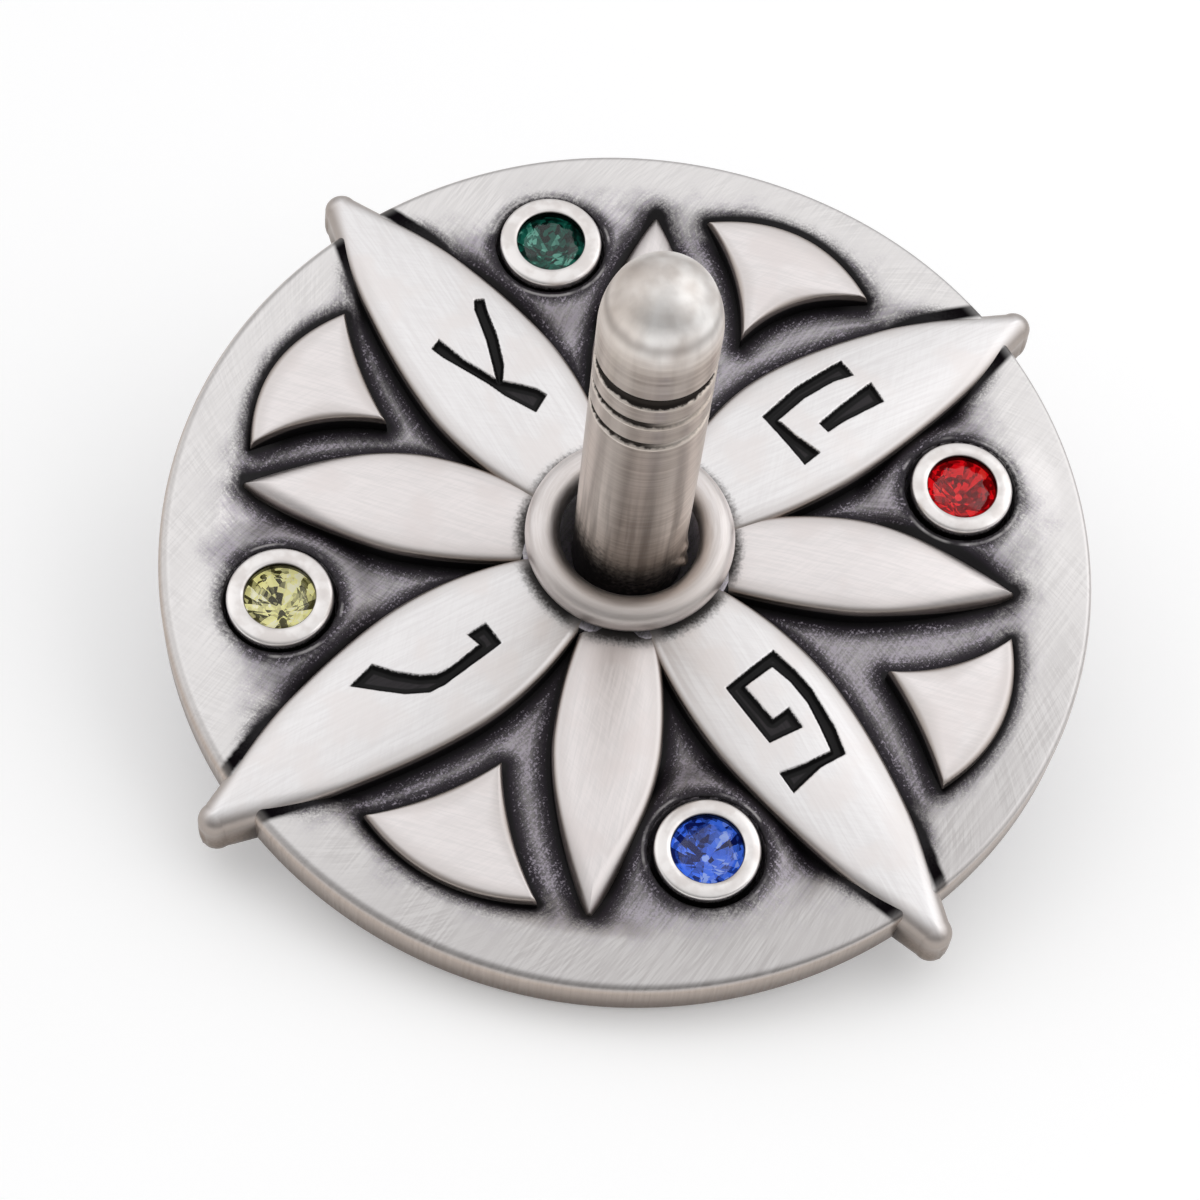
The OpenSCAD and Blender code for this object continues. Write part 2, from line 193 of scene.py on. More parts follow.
def mesh_piece(name, points, faces, attributes=None):
    """A mesh object at the origin from points in millimetres and an array of quads. Points in
    one place are merged, and a quad that lost a side this way becomes a triangle."""
    points = np.asarray(points, float)
    _, first, back = np.unique(np.round(points, 5), axis=0, return_index=True,
                               return_inverse=True)
    faces = back.reshape(-1)[np.asarray(faces)]
    faces = faces[(faces[:, 0] != faces[:, 2]) & (faces[:, 1] != faces[:, 3])]
    same = faces == np.roll(faces, -1, axis=1)
    quads = faces[same.sum(axis=1) == 0]
    thin = same.sum(axis=1) == 1
    tris = faces[thin][~same[thin]].reshape(-1, 3)
    mesh = bpy.data.meshes.new(name)
    loops = np.concatenate([quads.ravel(), tris.ravel()]).astype(np.int32)
    sizes = np.concatenate([np.full(len(quads), 4), np.full(len(tris), 3)]).astype(np.int32)
    mesh.vertices.add(len(first))
    mesh.vertices.foreach_set("co", (points[first] * mm).astype(np.float32).ravel())
    mesh.loops.add(len(loops))
    mesh.loops.foreach_set("vertex_index", loops)
    mesh.polygons.add(len(sizes))
    mesh.polygons.foreach_set("loop_start",
                              np.concatenate([[0], np.cumsum(sizes)[:-1]]).astype(np.int32))
    mesh.update(calc_edges=True)
    mesh.validate()
    mesh.polygons.foreach_set("use_smooth", np.full(len(mesh.polygons), True))
    for label, values in (attributes or {}).items():
        layer = mesh.attributes.new(label, "FLOAT", "POINT")
        layer.data.foreach_set("value", np.asarray(values, np.float32).ravel()[first])
    piece = bpy.data.objects.new(name, mesh)
    scene.collection.objects.link(piece)
    return piece


def grid_faces(rows, columns):
    """Quads of a grid of rows by columns, whose last column joins up with the first."""
    i = np.arange(rows - 1)[:, None] * columns
    j = np.arange(columns)[None, :]
    k = (j + 1) % columns
    return np.stack([i + j, i + k, i + columns + k, i + columns + j], axis=-1).reshape(-1, 4)


def lathe(profile, steps, centre=(0.0, 0.0)):
    """A closed profile of (radius, height) carried round an upright axis: each point goes to
    (cx + r cos a, cy + r sin a, z). The profile runs up the outside and down the inside."""
    profile = np.asarray(profile, float)
    a = np.arange(steps) * 2 * np.pi / steps
    r, z = profile[:, :1], profile[:, 1:]
    x = centre[0] + r * np.cos(a)
    y = centre[1] + r * np.sin(a)
    points = np.stack([x, y, np.broadcast_to(z, x.shape)], axis=-1).reshape(-1, 3)
    return points, grid_faces(len(profile), steps)


def arc(centre_r, centre_z, radius, start, end, steps):
    """Points of a stretch of a circle in the profile's plane, from angle to angle."""
    a = np.radians(np.linspace(start, end, steps))
    return np.stack([centre_r + radius * np.cos(a), centre_z + radius * np.sin(a)], axis=1)


def smooth_step(x, low, high):
    """0 below low, 1 above high, and 3 t**2 - 2 t**3 between them."""
    t = np.clip((x - low) / (high - low), 0, 1)
    return t * t * (3 - 2 * t)


def leaf_half_width(x, half_w, swell, root_half_w, reach, tip_r, power=1.7):
    """Half width of a leaf at distance x: it swells from its root as a parabola, tapers from
    its widest place to its tip's radius as 1 - s ** power, and ends in a half circle."""
    inner = half_w - (half_w - root_half_w) * ((swell - x) / (swell - ring_mid_r)) ** 2
    s = np.clip((x - swell) / (reach - tip_r - swell), 0, 1)
    outer = tip_r + (half_w - tip_r) * (1 - s ** power)
    end = np.clip((x - (reach - tip_r)) / tip_r, 0, 1)
    return np.where(x < swell, inner, outer) * np.sqrt(1 - end ** 2)


# Bearing, half width on the left and on the right of the line to the tip, and reach
letter_leaves = ((42.6, 4.65, 3.35, 27.25), (135.6, 4.05, 4.1, 27.5),
                 (225.3, 4.0, 4.05, 27.3), (314.8, 4.0, 3.45, 27.2))
plain_leaves = ((2.6, 3.15, 2.55, 20.85), (93.8, 2.9, 2.95, 21.1),
                (179.3, 2.75, 3.3, 20.95), (272.8, 2.85, 2.85, 20.95))
letter_form = dict(swell=12.3, root_half_w=2.3, tip_r=0.9)
plain_form = dict(swell=11.6, root_half_w=1.85, tip_r=0.2)


def leaf_outline(bearing, left_w, right_w, reach, form, step=0.12):
    """The two long edges of a leaf as points on the disc, from its root to its tip."""
    x = np.arange(ring_mid_r, reach, step)
    a = math.radians(bearing)
    out = []
    for sign, half in ((1, left_w), (-1, right_w)):
        y = sign * leaf_half_width(x, half, reach=reach, **form)
        out.append(np.stack([x * math.cos(a) - y * math.sin(a),
                             x * math.sin(a) + y * math.cos(a)], axis=1))
    return np.concatenate(out)


# Each curved triangle: the corner between the petals, the corner by the letter petal and the
# corner by the plain petal, counter-clockwise, and how far each side bows out
triangles = (
    (((4.35, 13.85), (10.95, 17.6), (1.55, 21.0)), (-1.0, 1.75, -0.6)),
    (((-14.05, 5.1), (-17.45, 11.4), (-20.9, 2.35)), (-0.3, 1.55, -0.75)),
    (((-4.65, -13.6), (-11.05, -17.65), (-1.7, -20.8)), (-0.4, 1.3, -0.42)),
    (((14.6, -5.0), (18.05, -11.0), (20.85, -1.95)), (-0.25, 1.4, -0.6)),
)


def bowed_outline(corners, bows, steps):
    """A three-sided outline: a side from P to Q is P + t (Q - P) + 4 bow t (1 - t) times the
    unit normal that points out of the shape."""
    t = np.linspace(0, 1, steps, endpoint=False)[:, None]
    sides = []
    for start, end, bow in zip(corners, corners[1:] + corners[:1], bows):
        start, end = np.array(start), np.array(end)
        run = end - start
        normal = np.array([run[1], -run[0]]) / np.linalg.norm(run)
        sides.append(start + t * run + 4 * bow * t * (1 - t) * normal)
    return np.concatenate(sides)


feet = np.concatenate(
    [leaf_outline(*leaf_sizes, letter_form) for leaf_sizes in letter_leaves]
    + [leaf_outline(*leaf_sizes, plain_form) for leaf_sizes in plain_leaves]
    + [bowed_outline(corners, bows, 70) for corners, bows in triangles])


def nearest(points, targets, block=4000):
    """Distance from each point of the plane to the nearest target, worked in blocks."""
    out = np.empty(len(points), np.float32)
    tx, ty = targets[:, 0].astype(np.float32), targets[:, 1].astype(np.float32)
    for start in range(0, len(points), block):
        p = points[start:start + block].astype(np.float32)
        d = (p[:, :1] - tx) ** 2 + (p[:, 1:2] - ty) ** 2
        out[start:start + block] = np.sqrt(d.min(axis=1))
    return out


def hand_wobble(x, y, size, wave, seed):
    """A slow unevenness left by the hand: five crossing sine waves of about one length."""
    rng = np.random.default_rng(seed)
    total = np.zeros_like(x)
    for _ in range(5):
        a = rng.uniform(0, 2 * np.pi)
        k = 2 * np.pi / (wave * rng.uniform(0.7, 1.5))
        total += np.sin((x * np.cos(a) + y * np.sin(a)) * k + rng.uniform(0, 2 * np.pi))
    return total * size / 5


def disc_profile(top_round):
    """The disc's section as (radius, height), for one radius of the rim's upper edge."""
    slope = np.linspace(0, 1, 24)
    band_r = disc_r - top_round
    band = np.linspace(band_r - 0.08, dish_r + 0.15, 16)
    field = np.linspace(field_r - 0.2, 6.1, 66)
    return np.concatenate([
        [[bore_r, under_z], [disc_r * 0.48, under_z], [disc_r * 0.968, under_z]],
        arc(disc_r - under_round, under_z + under_round, under_round, -90, 0, 7),
        arc(band_r, rim_z - top_round, top_round, 0, 90, 12),
        np.stack([band, np.full(16, rim_z)], axis=1),
        np.stack([dish_r - dish_slope_w * slope,
                  rim_z - dish_depth * (1 - np.cos(np.pi * slope)) / 2], axis=1),
        np.stack([field, np.full(66, field_z)], axis=1),
        arc(5.55, ring_seat_z - ring_seat_round, ring_seat_round, 0, 90, 4),
        [[4.6, ring_seat_z], [ring_well_r, ring_seat_z], [ring_well_r, field_z],
         [bore_r, field_z], [bore_r, under_z]],
    ])


# The rim's upper edge was filed by hand: widely on the left and the front, hardly on the right
least_round, most_round, filed_bearing = 0.28, 0.68, math.radians(205)
sharp, faces = lathe(disc_profile(least_round), 600)
filed, _ = lathe(disc_profile(most_round), 600)
bearing_of = np.arctan2(sharp[:, 1], sharp[:, 0])
share = ((1 + np.cos(bearing_of - filed_bearing)) / 2)[:, None]
points = sharp * (1 - share) + filed * share
plan_r = np.hypot(points[:, 0], points[:, 1])
on_top = (points[:, 2] > field_z - 0.01) & (plan_r > 5.6)
uneven = hand_wobble(points[:, 0], points[:, 1], 0.035, 7.0, 3)
out_of_round = 1 - 0.003 * (1 + hand_wobble(points[:, 0], points[:, 1], 1.0, 22.0, 8)) / 2 * (
    np.clip(plan_r - 20, 0, 5) / 5)
points[:, :2] *= out_of_round[:, None]
points[:, 2] += np.where(on_top, uneven * np.clip(24.0 - plan_r, 0, 1), 0)
far_off = 9.0
gap = np.full(len(points), far_off, np.float32)
gap[on_top] = nearest(points[on_top, :2], feet)
# The soot lies wider on the far side of a foot, where the brush was drawn away from it
small_step = 0.05
northward = (nearest(points[on_top, :2] + (0, small_step), feet) - gap[on_top]) / small_step
gap[on_top] -= 0.3 * np.clip(northward, 0, 1) * np.clip(1 - gap[on_top] / 3.0, 0, 1)
pocket = np.full(len(points), far_off, np.float32)
pocket[on_top] = nearest(points[on_top, :2], np.array(stone_places)) - pocket_r
# Round each pocket the field swells up into a low boss, a little higher than the rim
boss_w, boss_z = 2.6, rim_z + 0.2
swell_up = 1 - smooth_step(pocket, 0.0, boss_w)
points[:, 2] += swell_up * np.clip(boss_z - points[:, 2], 0, None) * on_top
disc = mesh_piece("cast_disc", points, faces, {"gap": gap, "pocket": pocket})


def drill(piece, cutter):
    """Cuts one closed piece out of another with a Boolean and applies it."""
    cut = piece.modifiers.new("drill", "BOOLEAN")
    cut.operation = "DIFFERENCE"
    cut.solver = "EXACT"
    cut.object = cutter
    bpy.context.view_layer.update()
    shaped = piece.evaluated_get(bpy.context.evaluated_depsgraph_get())
    mesh = bpy.data.meshes.new_from_object(shaped)
    old = piece.data
    piece.modifiers.clear()
    piece.data = mesh
    mesh.name = old.name
    bpy.data.meshes.remove(old)
    bpy.data.objects.remove(cutter)


# The four pockets: a flat floor and a wall that leans out a twentieth of a millimetre
drill_top_z = 12.0
drill_profile = [[0, cup_low_z], [pocket_r - 0.1, cup_low_z], [pocket_r - 0.1, 9.7],
                 [pocket_r - 0.09, 9.85], [pocket_r - 0.06, 10.2],
                 [pocket_r - 0.05, drill_top_z], [0, drill_top_z]]
drills = [lathe(drill_profile, 96, place) for place in stone_places]
drill_size = len(drills[0][0])
pockets = mesh_piece("pocket_drill", np.concatenate([d[0] for d in drills]),
                     np.concatenate([d[1] + i * drill_size for i, d in enumerate(drills)]),
                     {"gap": np.full(4 * drill_size, far_off),
                      "pocket": np.full(4 * drill_size, -1.0)})
drill(disc, pockets)


# Silver plate on pewter, blackened and brushed back. The silver is a soft satin near-white,
# and the black is a plum-grey skin of silver sulphide, matt and mottled. Strokes of the brush
# are about 0.1 mm wide and some millimetres long, and grains of the casting 0.1 mm.
def place_in_mm(tree):
    """The place on a piece in millimetres, for patterns that are sized in them."""
    place = put(tree, "ShaderNodeTexCoord").outputs["Object"]
    return put(tree, "ShaderNodeVectorMath", {0: place, "Scale": 1000.0}, operation="SCALE")


def silver_plate(name):
    """An empty material with what the plate's patterns start from, all in millimetres: the
    place, the height, the distance from the spin axis and the unit vector away from it."""
    material, tree = empty_material(name)
    place = place_in_mm(tree)
    height = put(tree, "ShaderNodeSeparateXYZ", {0: place}).outputs["Z"]
    flat = put(tree, "ShaderNodeVectorMath", {0: place, 1: (1.0, 1.0, 0.0)},
               operation="MULTIPLY")
    radius = put(tree, "ShaderNodeVectorMath", {0: flat}, operation="LENGTH")
    outward = put(tree, "ShaderNodeVectorMath", {0: flat}, operation="NORMALIZE")
    return material, tree, place, height, radius, outward


def layered(tree, colour, layers):
    """A colour under layers of soot, wear and light: each layer is its share and its colour,
    and lies over those before it."""
    for share, tone in layers:
        tone = linear(tone) if isinstance(tone, str) else tone
        colour = put(tree, "ShaderNodeMix", {0: share, 6: colour, 7: tone}, data_type="RGBA")
    return colour


def plate_shader(tree, colour, metal, rough, relief, strength, depth):
    """The plate's surface from its colour, its share of bare metal, its roughness and a fine
    relief, which stands for marks of so many millimetres' depth."""
    bump = put(tree, "ShaderNodeBump", {"Height": relief, "Strength": strength,
                                        "Distance": depth * mm})
    shader = put(tree, "ShaderNodeBsdfPrincipled", {"Base Color": colour, "Metallic": metal,
                                                    "Roughness": rough, "Normal": bump})
    put(tree, "ShaderNodeOutputMaterial", {"Surface": shader})


disc_metal, tree, place, height, radius, outward = silver_plate("antiqued silver plate, disc")
gap_mm = put(tree, "ShaderNodeAttribute", attribute_name="gap").outputs["Fac"]
pocket_mm = put(tree, "ShaderNodeAttribute", attribute_name="pocket").outputs["Fac"]
# Strokes along the lanes between the feet: quick across the gap, slow along it
lane_place = put(tree, "ShaderNodeVectorMath", {0: place, "Scale": 0.34}, operation="SCALE")
lane_gap = put(tree, "ShaderNodeMath", {0: gap_mm, 1: 4.5}, operation="MULTIPLY")
lane_up = put(tree, "ShaderNodeCombineXYZ", {2: lane_gap})
lane = put(tree, "ShaderNodeVectorMath", {0: lane_place, 1: lane_up}, operation="ADD")
lane_strokes = put(tree, "ShaderNodeTexNoise", {"Vector": lane, "Scale": 1.0, "Detail": 3.0,
                                                "Roughness": 0.6})
# Strokes outwards over the rim, a little turned: quick round the disc, slow along the radius
skew = put(tree, "ShaderNodeMath", {0: radius, 1: 0.045}, operation="MULTIPLY")
skewed = put(tree, "ShaderNodeVectorRotate", {"Vector": outward, "Angle": skew},
             rotation_type="Z_AXIS")
skewed = put(tree, "ShaderNodeVectorMath", {0: skewed, "Scale": 120.0}, operation="SCALE")
along = put(tree, "ShaderNodeMath", {0: radius, 1: 0.6}, operation="MULTIPLY")
along = put(tree, "ShaderNodeCombineXYZ", {2: along})
brushed = put(tree, "ShaderNodeVectorMath", {0: skewed, 1: along}, operation="ADD")
rim_strokes = put(tree, "ShaderNodeTexNoise", {"Vector": brushed, "Scale": 1.0, "Detail": 3.0,
                                               "Roughness": 0.6})
# Crossing scratches, 0.14 mm by 5 mm, turned by 63 degrees from the X axis
crossing = put(tree, "ShaderNodeMapping", {0: place, "Rotation": (0.0, 0.0, 1.1),
                                           "Scale": (5.0, 0.14, 1.0)}, vector_type="TEXTURE")
scratches = put(tree, "ShaderNodeTexNoise", {"Vector": crossing, "Scale": 1.0, "Detail": 2.0})
grain = put(tree, "ShaderNodeTexNoise", {"Vector": place, "Scale": 7.5, "Detail": 2.0,
                                         "Roughness": 0.7})
cloud = put(tree, "ShaderNodeTexNoise", {"Vector": place, "Scale": 0.42, "Detail": 3.0})
# Where the brush didn't reach: the field out to about 22 mm, and 1 mm from every foot
uneven_r = put(tree, "ShaderNodeMath", {0: cloud, 1: 4.6, 2: radius}, operation="MULTIPLY_ADD")
field = put(tree, "ShaderNodeMapRange", {0: uneven_r, 1: 22.2, 2: 26.2, 3: 1.0, 4: 0.0},
            interpolation_type="SMOOTHSTEP")
foot = put(tree, "ShaderNodeMapRange", {0: gap_mm, 1: 0.1, 2: 1.5, 3: 1.0, 4: 0.0},
           interpolation_type="SMOOTHSTEP")
near_pocket = put(tree, "ShaderNodeMapRange", {0: pocket_mm, 1: 0.1, 2: 1.0, 3: 0.8, 4: 0.0},
                  interpolation_type="SMOOTHSTEP")
foot = put(tree, "ShaderNodeMath", {0: foot, 1: near_pocket}, operation="MAXIMUM")
kept = put(tree, "ShaderNodeMath", {0: foot, 1: 0.36, 2: 0.64}, operation="MULTIPLY_ADD")
kept = put(tree, "ShaderNodeMath", {0: kept, 1: field}, operation="MULTIPLY")
smudge = put(tree, "ShaderNodeMapRange", {0: radius, 1: 21.8, 2: 24.7, 3: 0.85, 4: 0.0},
             interpolation_type="SMOOTHSTEP")
smudge = put(tree, "ShaderNodeMath", {0: smudge, 1: foot}, operation="MULTIPLY")
kept = put(tree, "ShaderNodeMath", {0: kept, 1: smudge}, operation="MAXIMUM")
# The strokes and grains tear the edge between black and silver
torn = put(tree, "ShaderNodeMath", {0: rim_strokes, 1: 0.9, 2: lane_strokes},
           operation="MULTIPLY_ADD")
torn = put(tree, "ShaderNodeMath", {0: grain, 1: 1.7, 2: torn}, operation="MULTIPLY_ADD")
torn = put(tree, "ShaderNodeMath", {0: torn, 1: 1.8}, operation="SUBTRACT")
light_share = put(tree, "ShaderNodeMath", {0: 1.0, 1: kept}, operation="SUBTRACT")
edge_share = put(tree, "ShaderNodeMath", {0: kept, 1: light_share}, operation="MULTIPLY")
torn = put(tree, "ShaderNodeMath", {0: torn, 1: edge_share}, operation="MULTIPLY")
dark = put(tree, "ShaderNodeMath", {0: torn, 1: 2.4, 2: kept}, operation="MULTIPLY_ADD")
dark = put(tree, "ShaderNodeMapRange", {0: dark, 1: 0.02, 2: 0.98},
           interpolation_type="SMOOTHSTEP")
streaks = put(tree, "ShaderNodeMath", {0: rim_strokes, 1: scratches}, operation="ADD")
streaks = put(tree, "ShaderNodeMapRange", {0: streaks, 1: 0.78, 2: 1.22},
              interpolation_type="SMOOTHSTEP")
# The brush bit unevenly: patches of the rim are clear of strokes
bitten = put(tree, "ShaderNodeMapRange", {0: cloud, 1: 0.38, 2: 0.62, 3: 0.3, 4: 1.0},
             interpolation_type="SMOOTHSTEP")
streaks = put(tree, "ShaderNodeMath", {0: streaks, 1: 0.6}, operation="SUBTRACT")
streaks = put(tree, "ShaderNodeMath", {0: streaks, 1: bitten, 2: 0.6},
              operation="MULTIPLY_ADD")
# The front of the rim is greyer between the strokes
at_front = put(tree, "ShaderNodeVectorMath", {0: outward, 1: (0.4, -0.92, 0.0)},
               operation="DOT_PRODUCT")
at_front = put(tree, "ShaderNodeMapRange", {0: at_front, 1: 0.1, 2: 1.0},
               interpolation_type="SMOOTHSTEP")
stroke_low = put(tree, "ShaderNodeMix", {0: at_front, 6: linear("#dad7d6"),
                                         7: linear("#bcb8b7")}, data_type="RGBA")
stroke_high = put(tree, "ShaderNodeMix", {0: at_front, 6: linear("#eae7e6"),
                                          7: linear("#d0cdcc")}, data_type="RGBA")
silver = put(tree, "ShaderNodeMix", {0: streaks, 6: stroke_low, 7: stroke_high},
             data_type="RGBA")
sooty = put(tree, "ShaderNodeMath", {0: foot, 1: -0.5, 2: lane_strokes},
            operation="MULTIPLY_ADD")
sooty = put(tree, "ShaderNodeMath", {0: grain, 1: 1.7, 2: sooty}, operation="MULTIPLY_ADD")
sooty = put(tree, "ShaderNodeMath", {0: scratches, 1: 0.6, 2: sooty},
            operation="MULTIPLY_ADD")
sooty = put(tree, "ShaderNodeMapRange", {0: sooty, 1: 1.32, 2: 1.88},
            interpolation_type="SMOOTHSTEP")
plum = put(tree, "ShaderNodeMix", {0: sooty, 6: linear("#221b24"), 7: linear("#aca4b0")},
           data_type="RGBA")
# The crevice at a foot stays black, and so does a pocket's wall
crevice = put(tree, "ShaderNodeMapRange", {0: gap_mm, 1: 0.15, 2: 0.45, 3: 1.0, 4: 0.0},
              interpolation_type="SMOOTHSTEP")
at_rim = put(tree, "ShaderNodeMapRange", {0: radius, 1: 24.2, 2: 25.0, 3: 1.0, 4: 0.7},
             interpolation_type="SMOOTHSTEP")
crevice = put(tree, "ShaderNodeMath", {0: crevice, 1: at_rim}, operation="MULTIPLY")
pocket_edge = put(tree, "ShaderNodeMath", {0: grain, 1: -0.3, 2: pocket_mm},
                  operation="MULTIPLY_ADD")
in_pocket = put(tree, "ShaderNodeMapRange", {0: pocket_edge, 1: -0.2, 2: 0.0, 3: 1.0, 4: 0.0})
crevice = put(tree, "ShaderNodeMath", {0: crevice, 1: in_pocket}, operation="MAXIMUM")
# The burnisher left a bright line round parts of each pocket
line = put(tree, "ShaderNodeMapRange", {0: pocket_mm, 1: 0.08, 2: 0.14})
line_end = put(tree, "ShaderNodeMapRange", {0: pocket_mm, 1: 0.2, 2: 0.28, 3: 1.0, 4: 0.0})
line = put(tree, "ShaderNodeMath", {0: line, 1: line_end}, operation="MULTIPLY")
line_part = put(tree, "ShaderNodeMapRange", {0: cloud, 1: 0.48, 2: 0.62, 3: 0.0, 4: 0.4},
                interpolation_type="SMOOTHSTEP")
line = put(tree, "ShaderNodeMath", {0: line, 1: line_part}, operation="MULTIPLY")
# The filed edge and the wall of the rim are barer metal: tan, cross-filed, darker below, with
# a dark hair line where the filed edge starts
file_marks = put(tree, "ShaderNodeVectorMath", {0: outward, "Scale": 150.0},
                 operation="SCALE")
file_marks = put(tree, "ShaderNodeTexNoise", {"Vector": file_marks, "Scale": 1.0,
                                              "Detail": 3.0, "Roughness": 0.65})
tan = put(tree, "ShaderNodeMix", {0: file_marks, 6: linear("#a2948a"), 7: linear("#cbbfb6")},
          data_type="RGBA")
low = put(tree, "ShaderNodeMapRange", {0: height, 1: 8.4, 2: 10.4, 3: 0.9, 4: 0.0},
          interpolation_type="SMOOTHSTEP")
tan = put(tree, "ShaderNodeMix", {0: low, 6: tan, 7: linear("#6e5f55")}, data_type="RGBA")
outer = put(tree, "ShaderNodeMapRange", {0: radius, 1: 23.7, 2: 23.9})
wall = put(tree, "ShaderNodeMapRange", {0: height, 1: 10.42, 2: 10.77, 3: 1.0, 4: 0.0},
           interpolation_type="SMOOTHSTEP")
wall = put(tree, "ShaderNodeMath", {0: wall, 1: outer}, operation="MULTIPLY")
hair = put(tree, "ShaderNodeMapRange", {0: height, 1: 10.66, 2: 10.72})
hair_end = put(tree, "ShaderNodeMapRange", {0: height, 1: 10.76, 2: 10.795, 3: 1.0, 4: 0.0})
hair = put(tree, "ShaderNodeMath", {0: hair, 1: hair_end}, operation="MULTIPLY")
hair = put(tree, "ShaderNodeMath", {0: hair, 1: outer}, operation="MULTIPLY")
hair = put(tree, "ShaderNodeMath", {0: hair, 1: 0.25}, operation="MULTIPLY")
colour = layered(tree, silver, ((dark, plum), (crevice, "#0d0a0d"), (line, "#d9d5d4"),
                                (wall, tan), (hair, "#6b645f")))
metal = put(tree, "ShaderNodeMath", {0: dark, 1: -0.45, 2: 1.0}, operation="MULTIPLY_ADD")
rough = put(tree, "ShaderNodeMath", {0: streaks, 1: 0.1, 2: 0.3}, operation="MULTIPLY_ADD")
rough = put(tree, "ShaderNodeMath", {0: dark, 1: 0.12, 2: rough}, operation="MULTIPLY_ADD")
relief = put(tree, "ShaderNodeMath", {0: grain, 1: 0.4, 2: rim_strokes},
             operation="MULTIPLY_ADD")
plate_shader(tree, colour, metal, rough, relief, 0.2, 0.03)
disc.data.materials.clear()
disc.data.materials.append(disc_metal)
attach(disc, "root")
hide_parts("disc")

# The casting's four letter petals. Each is a long leaf, crowned across and falling to a round
# tip that passes the rim, and has one letter of the game cut into its face and left black. The
# edges are worn round by the brush, most of all at the tip.
cut_depth = 0.34
# The outlines of each letter's strokes, along and across its petal
letter_shapes = (
    ([[10.4, 2.35], [10.6, -1.35], [11.75, -1.2], [11.25, 0.3], [11.0, 1.66], [13.0, 2.02],
      [15.0, 2.02], [16.2, 1.75], [16.2, 2.95], [13.0, 2.87]],
     [[12.75, 0.3], [12.85, -0.4], [14.0, -0.34], [16.6, -0.48], [16.72, 0.88],
      [14.2, 0.56]]),
    ([[9.1, -0.6], [9.65, -1.75], [10.3, -1.5], [11.2, -0.72], [11.9, -0.06], [13.9, 0.64],
      [15.85, 1.02], [15.62, 1.68], [14.8, 1.5], [12.0, 0.5], [10.9, 0.2]],
     [[11.75, 0.1], [12.7, -0.34], [14.3, -1.05], [16.3, -1.72], [16.85, -2.1], [16.6, -2.62],
      [15.9, -2.3], [14.2, -1.75], [12.5, -0.95], [11.6, -0.2]]),
    ([[9.1, 0.98], [9.1, -0.45], [10.3, -0.45], [10.12, 0.36], [12.2, 0.58], [12.9, 0.5],
      [13.7, 0.02], [14.6, -0.9], [15.3, -1.95], [16.95, -1.6], [15.9, -0.5], [14.9, 0.46],
      [13.8, 1.12], [12.9, 1.22]],),
    ([[9.5, 2.38], [9.8, -1.02], [13.6, -1.06], [13.9, 0.9], [12.6, 1.0], [12.65, -0.1],
      [10.35, -0.16], [10.25, 1.72], [11.5, 1.98], [12.9, 1.98], [14.4, 1.66], [15.75, 1.3],
      [15.55, -0.3], [15.2, -1.66], [16.5, -1.72], [16.2, 0.3], [16.32, 1.85], [14.8, 2.34],
      [12.4, 2.68], [11.2, 2.64]],),
)


def inside_depth(x, y, outline):
    """Signed distance to a closed outline of straight sides, above zero inside it: the
    nearest distance to a side, with the sign from the count of sides crossed by a ray."""
    outline = np.asarray(outline, float)
    best = np.full(x.shape, 1e9)
    odd = np.zeros(x.shape, bool)
    for (ax, ay), (bx, by) in zip(outline, np.roll(outline, -1, axis=0)):
        dx, dy = bx - ax, by - ay
        t = np.clip(((x - ax) * dx + (y - ay) * dy) / (dx * dx + dy * dy), 0, 1)
        best = np.minimum(best, np.hypot(x - ax - t * dx, y - ay - t * dy))
        crosses = (ay > y) != (by > y)
        odd ^= crosses & (x < (bx - ax) * (y - ay) / (by - ay + 1e-12) + ax)
    return np.where(odd, best, -best)


def fall_radius(run, drop):
    """Radius of an arc that starts level and falls by drop over run."""
    return (run * run + drop * drop) / (2 * drop)


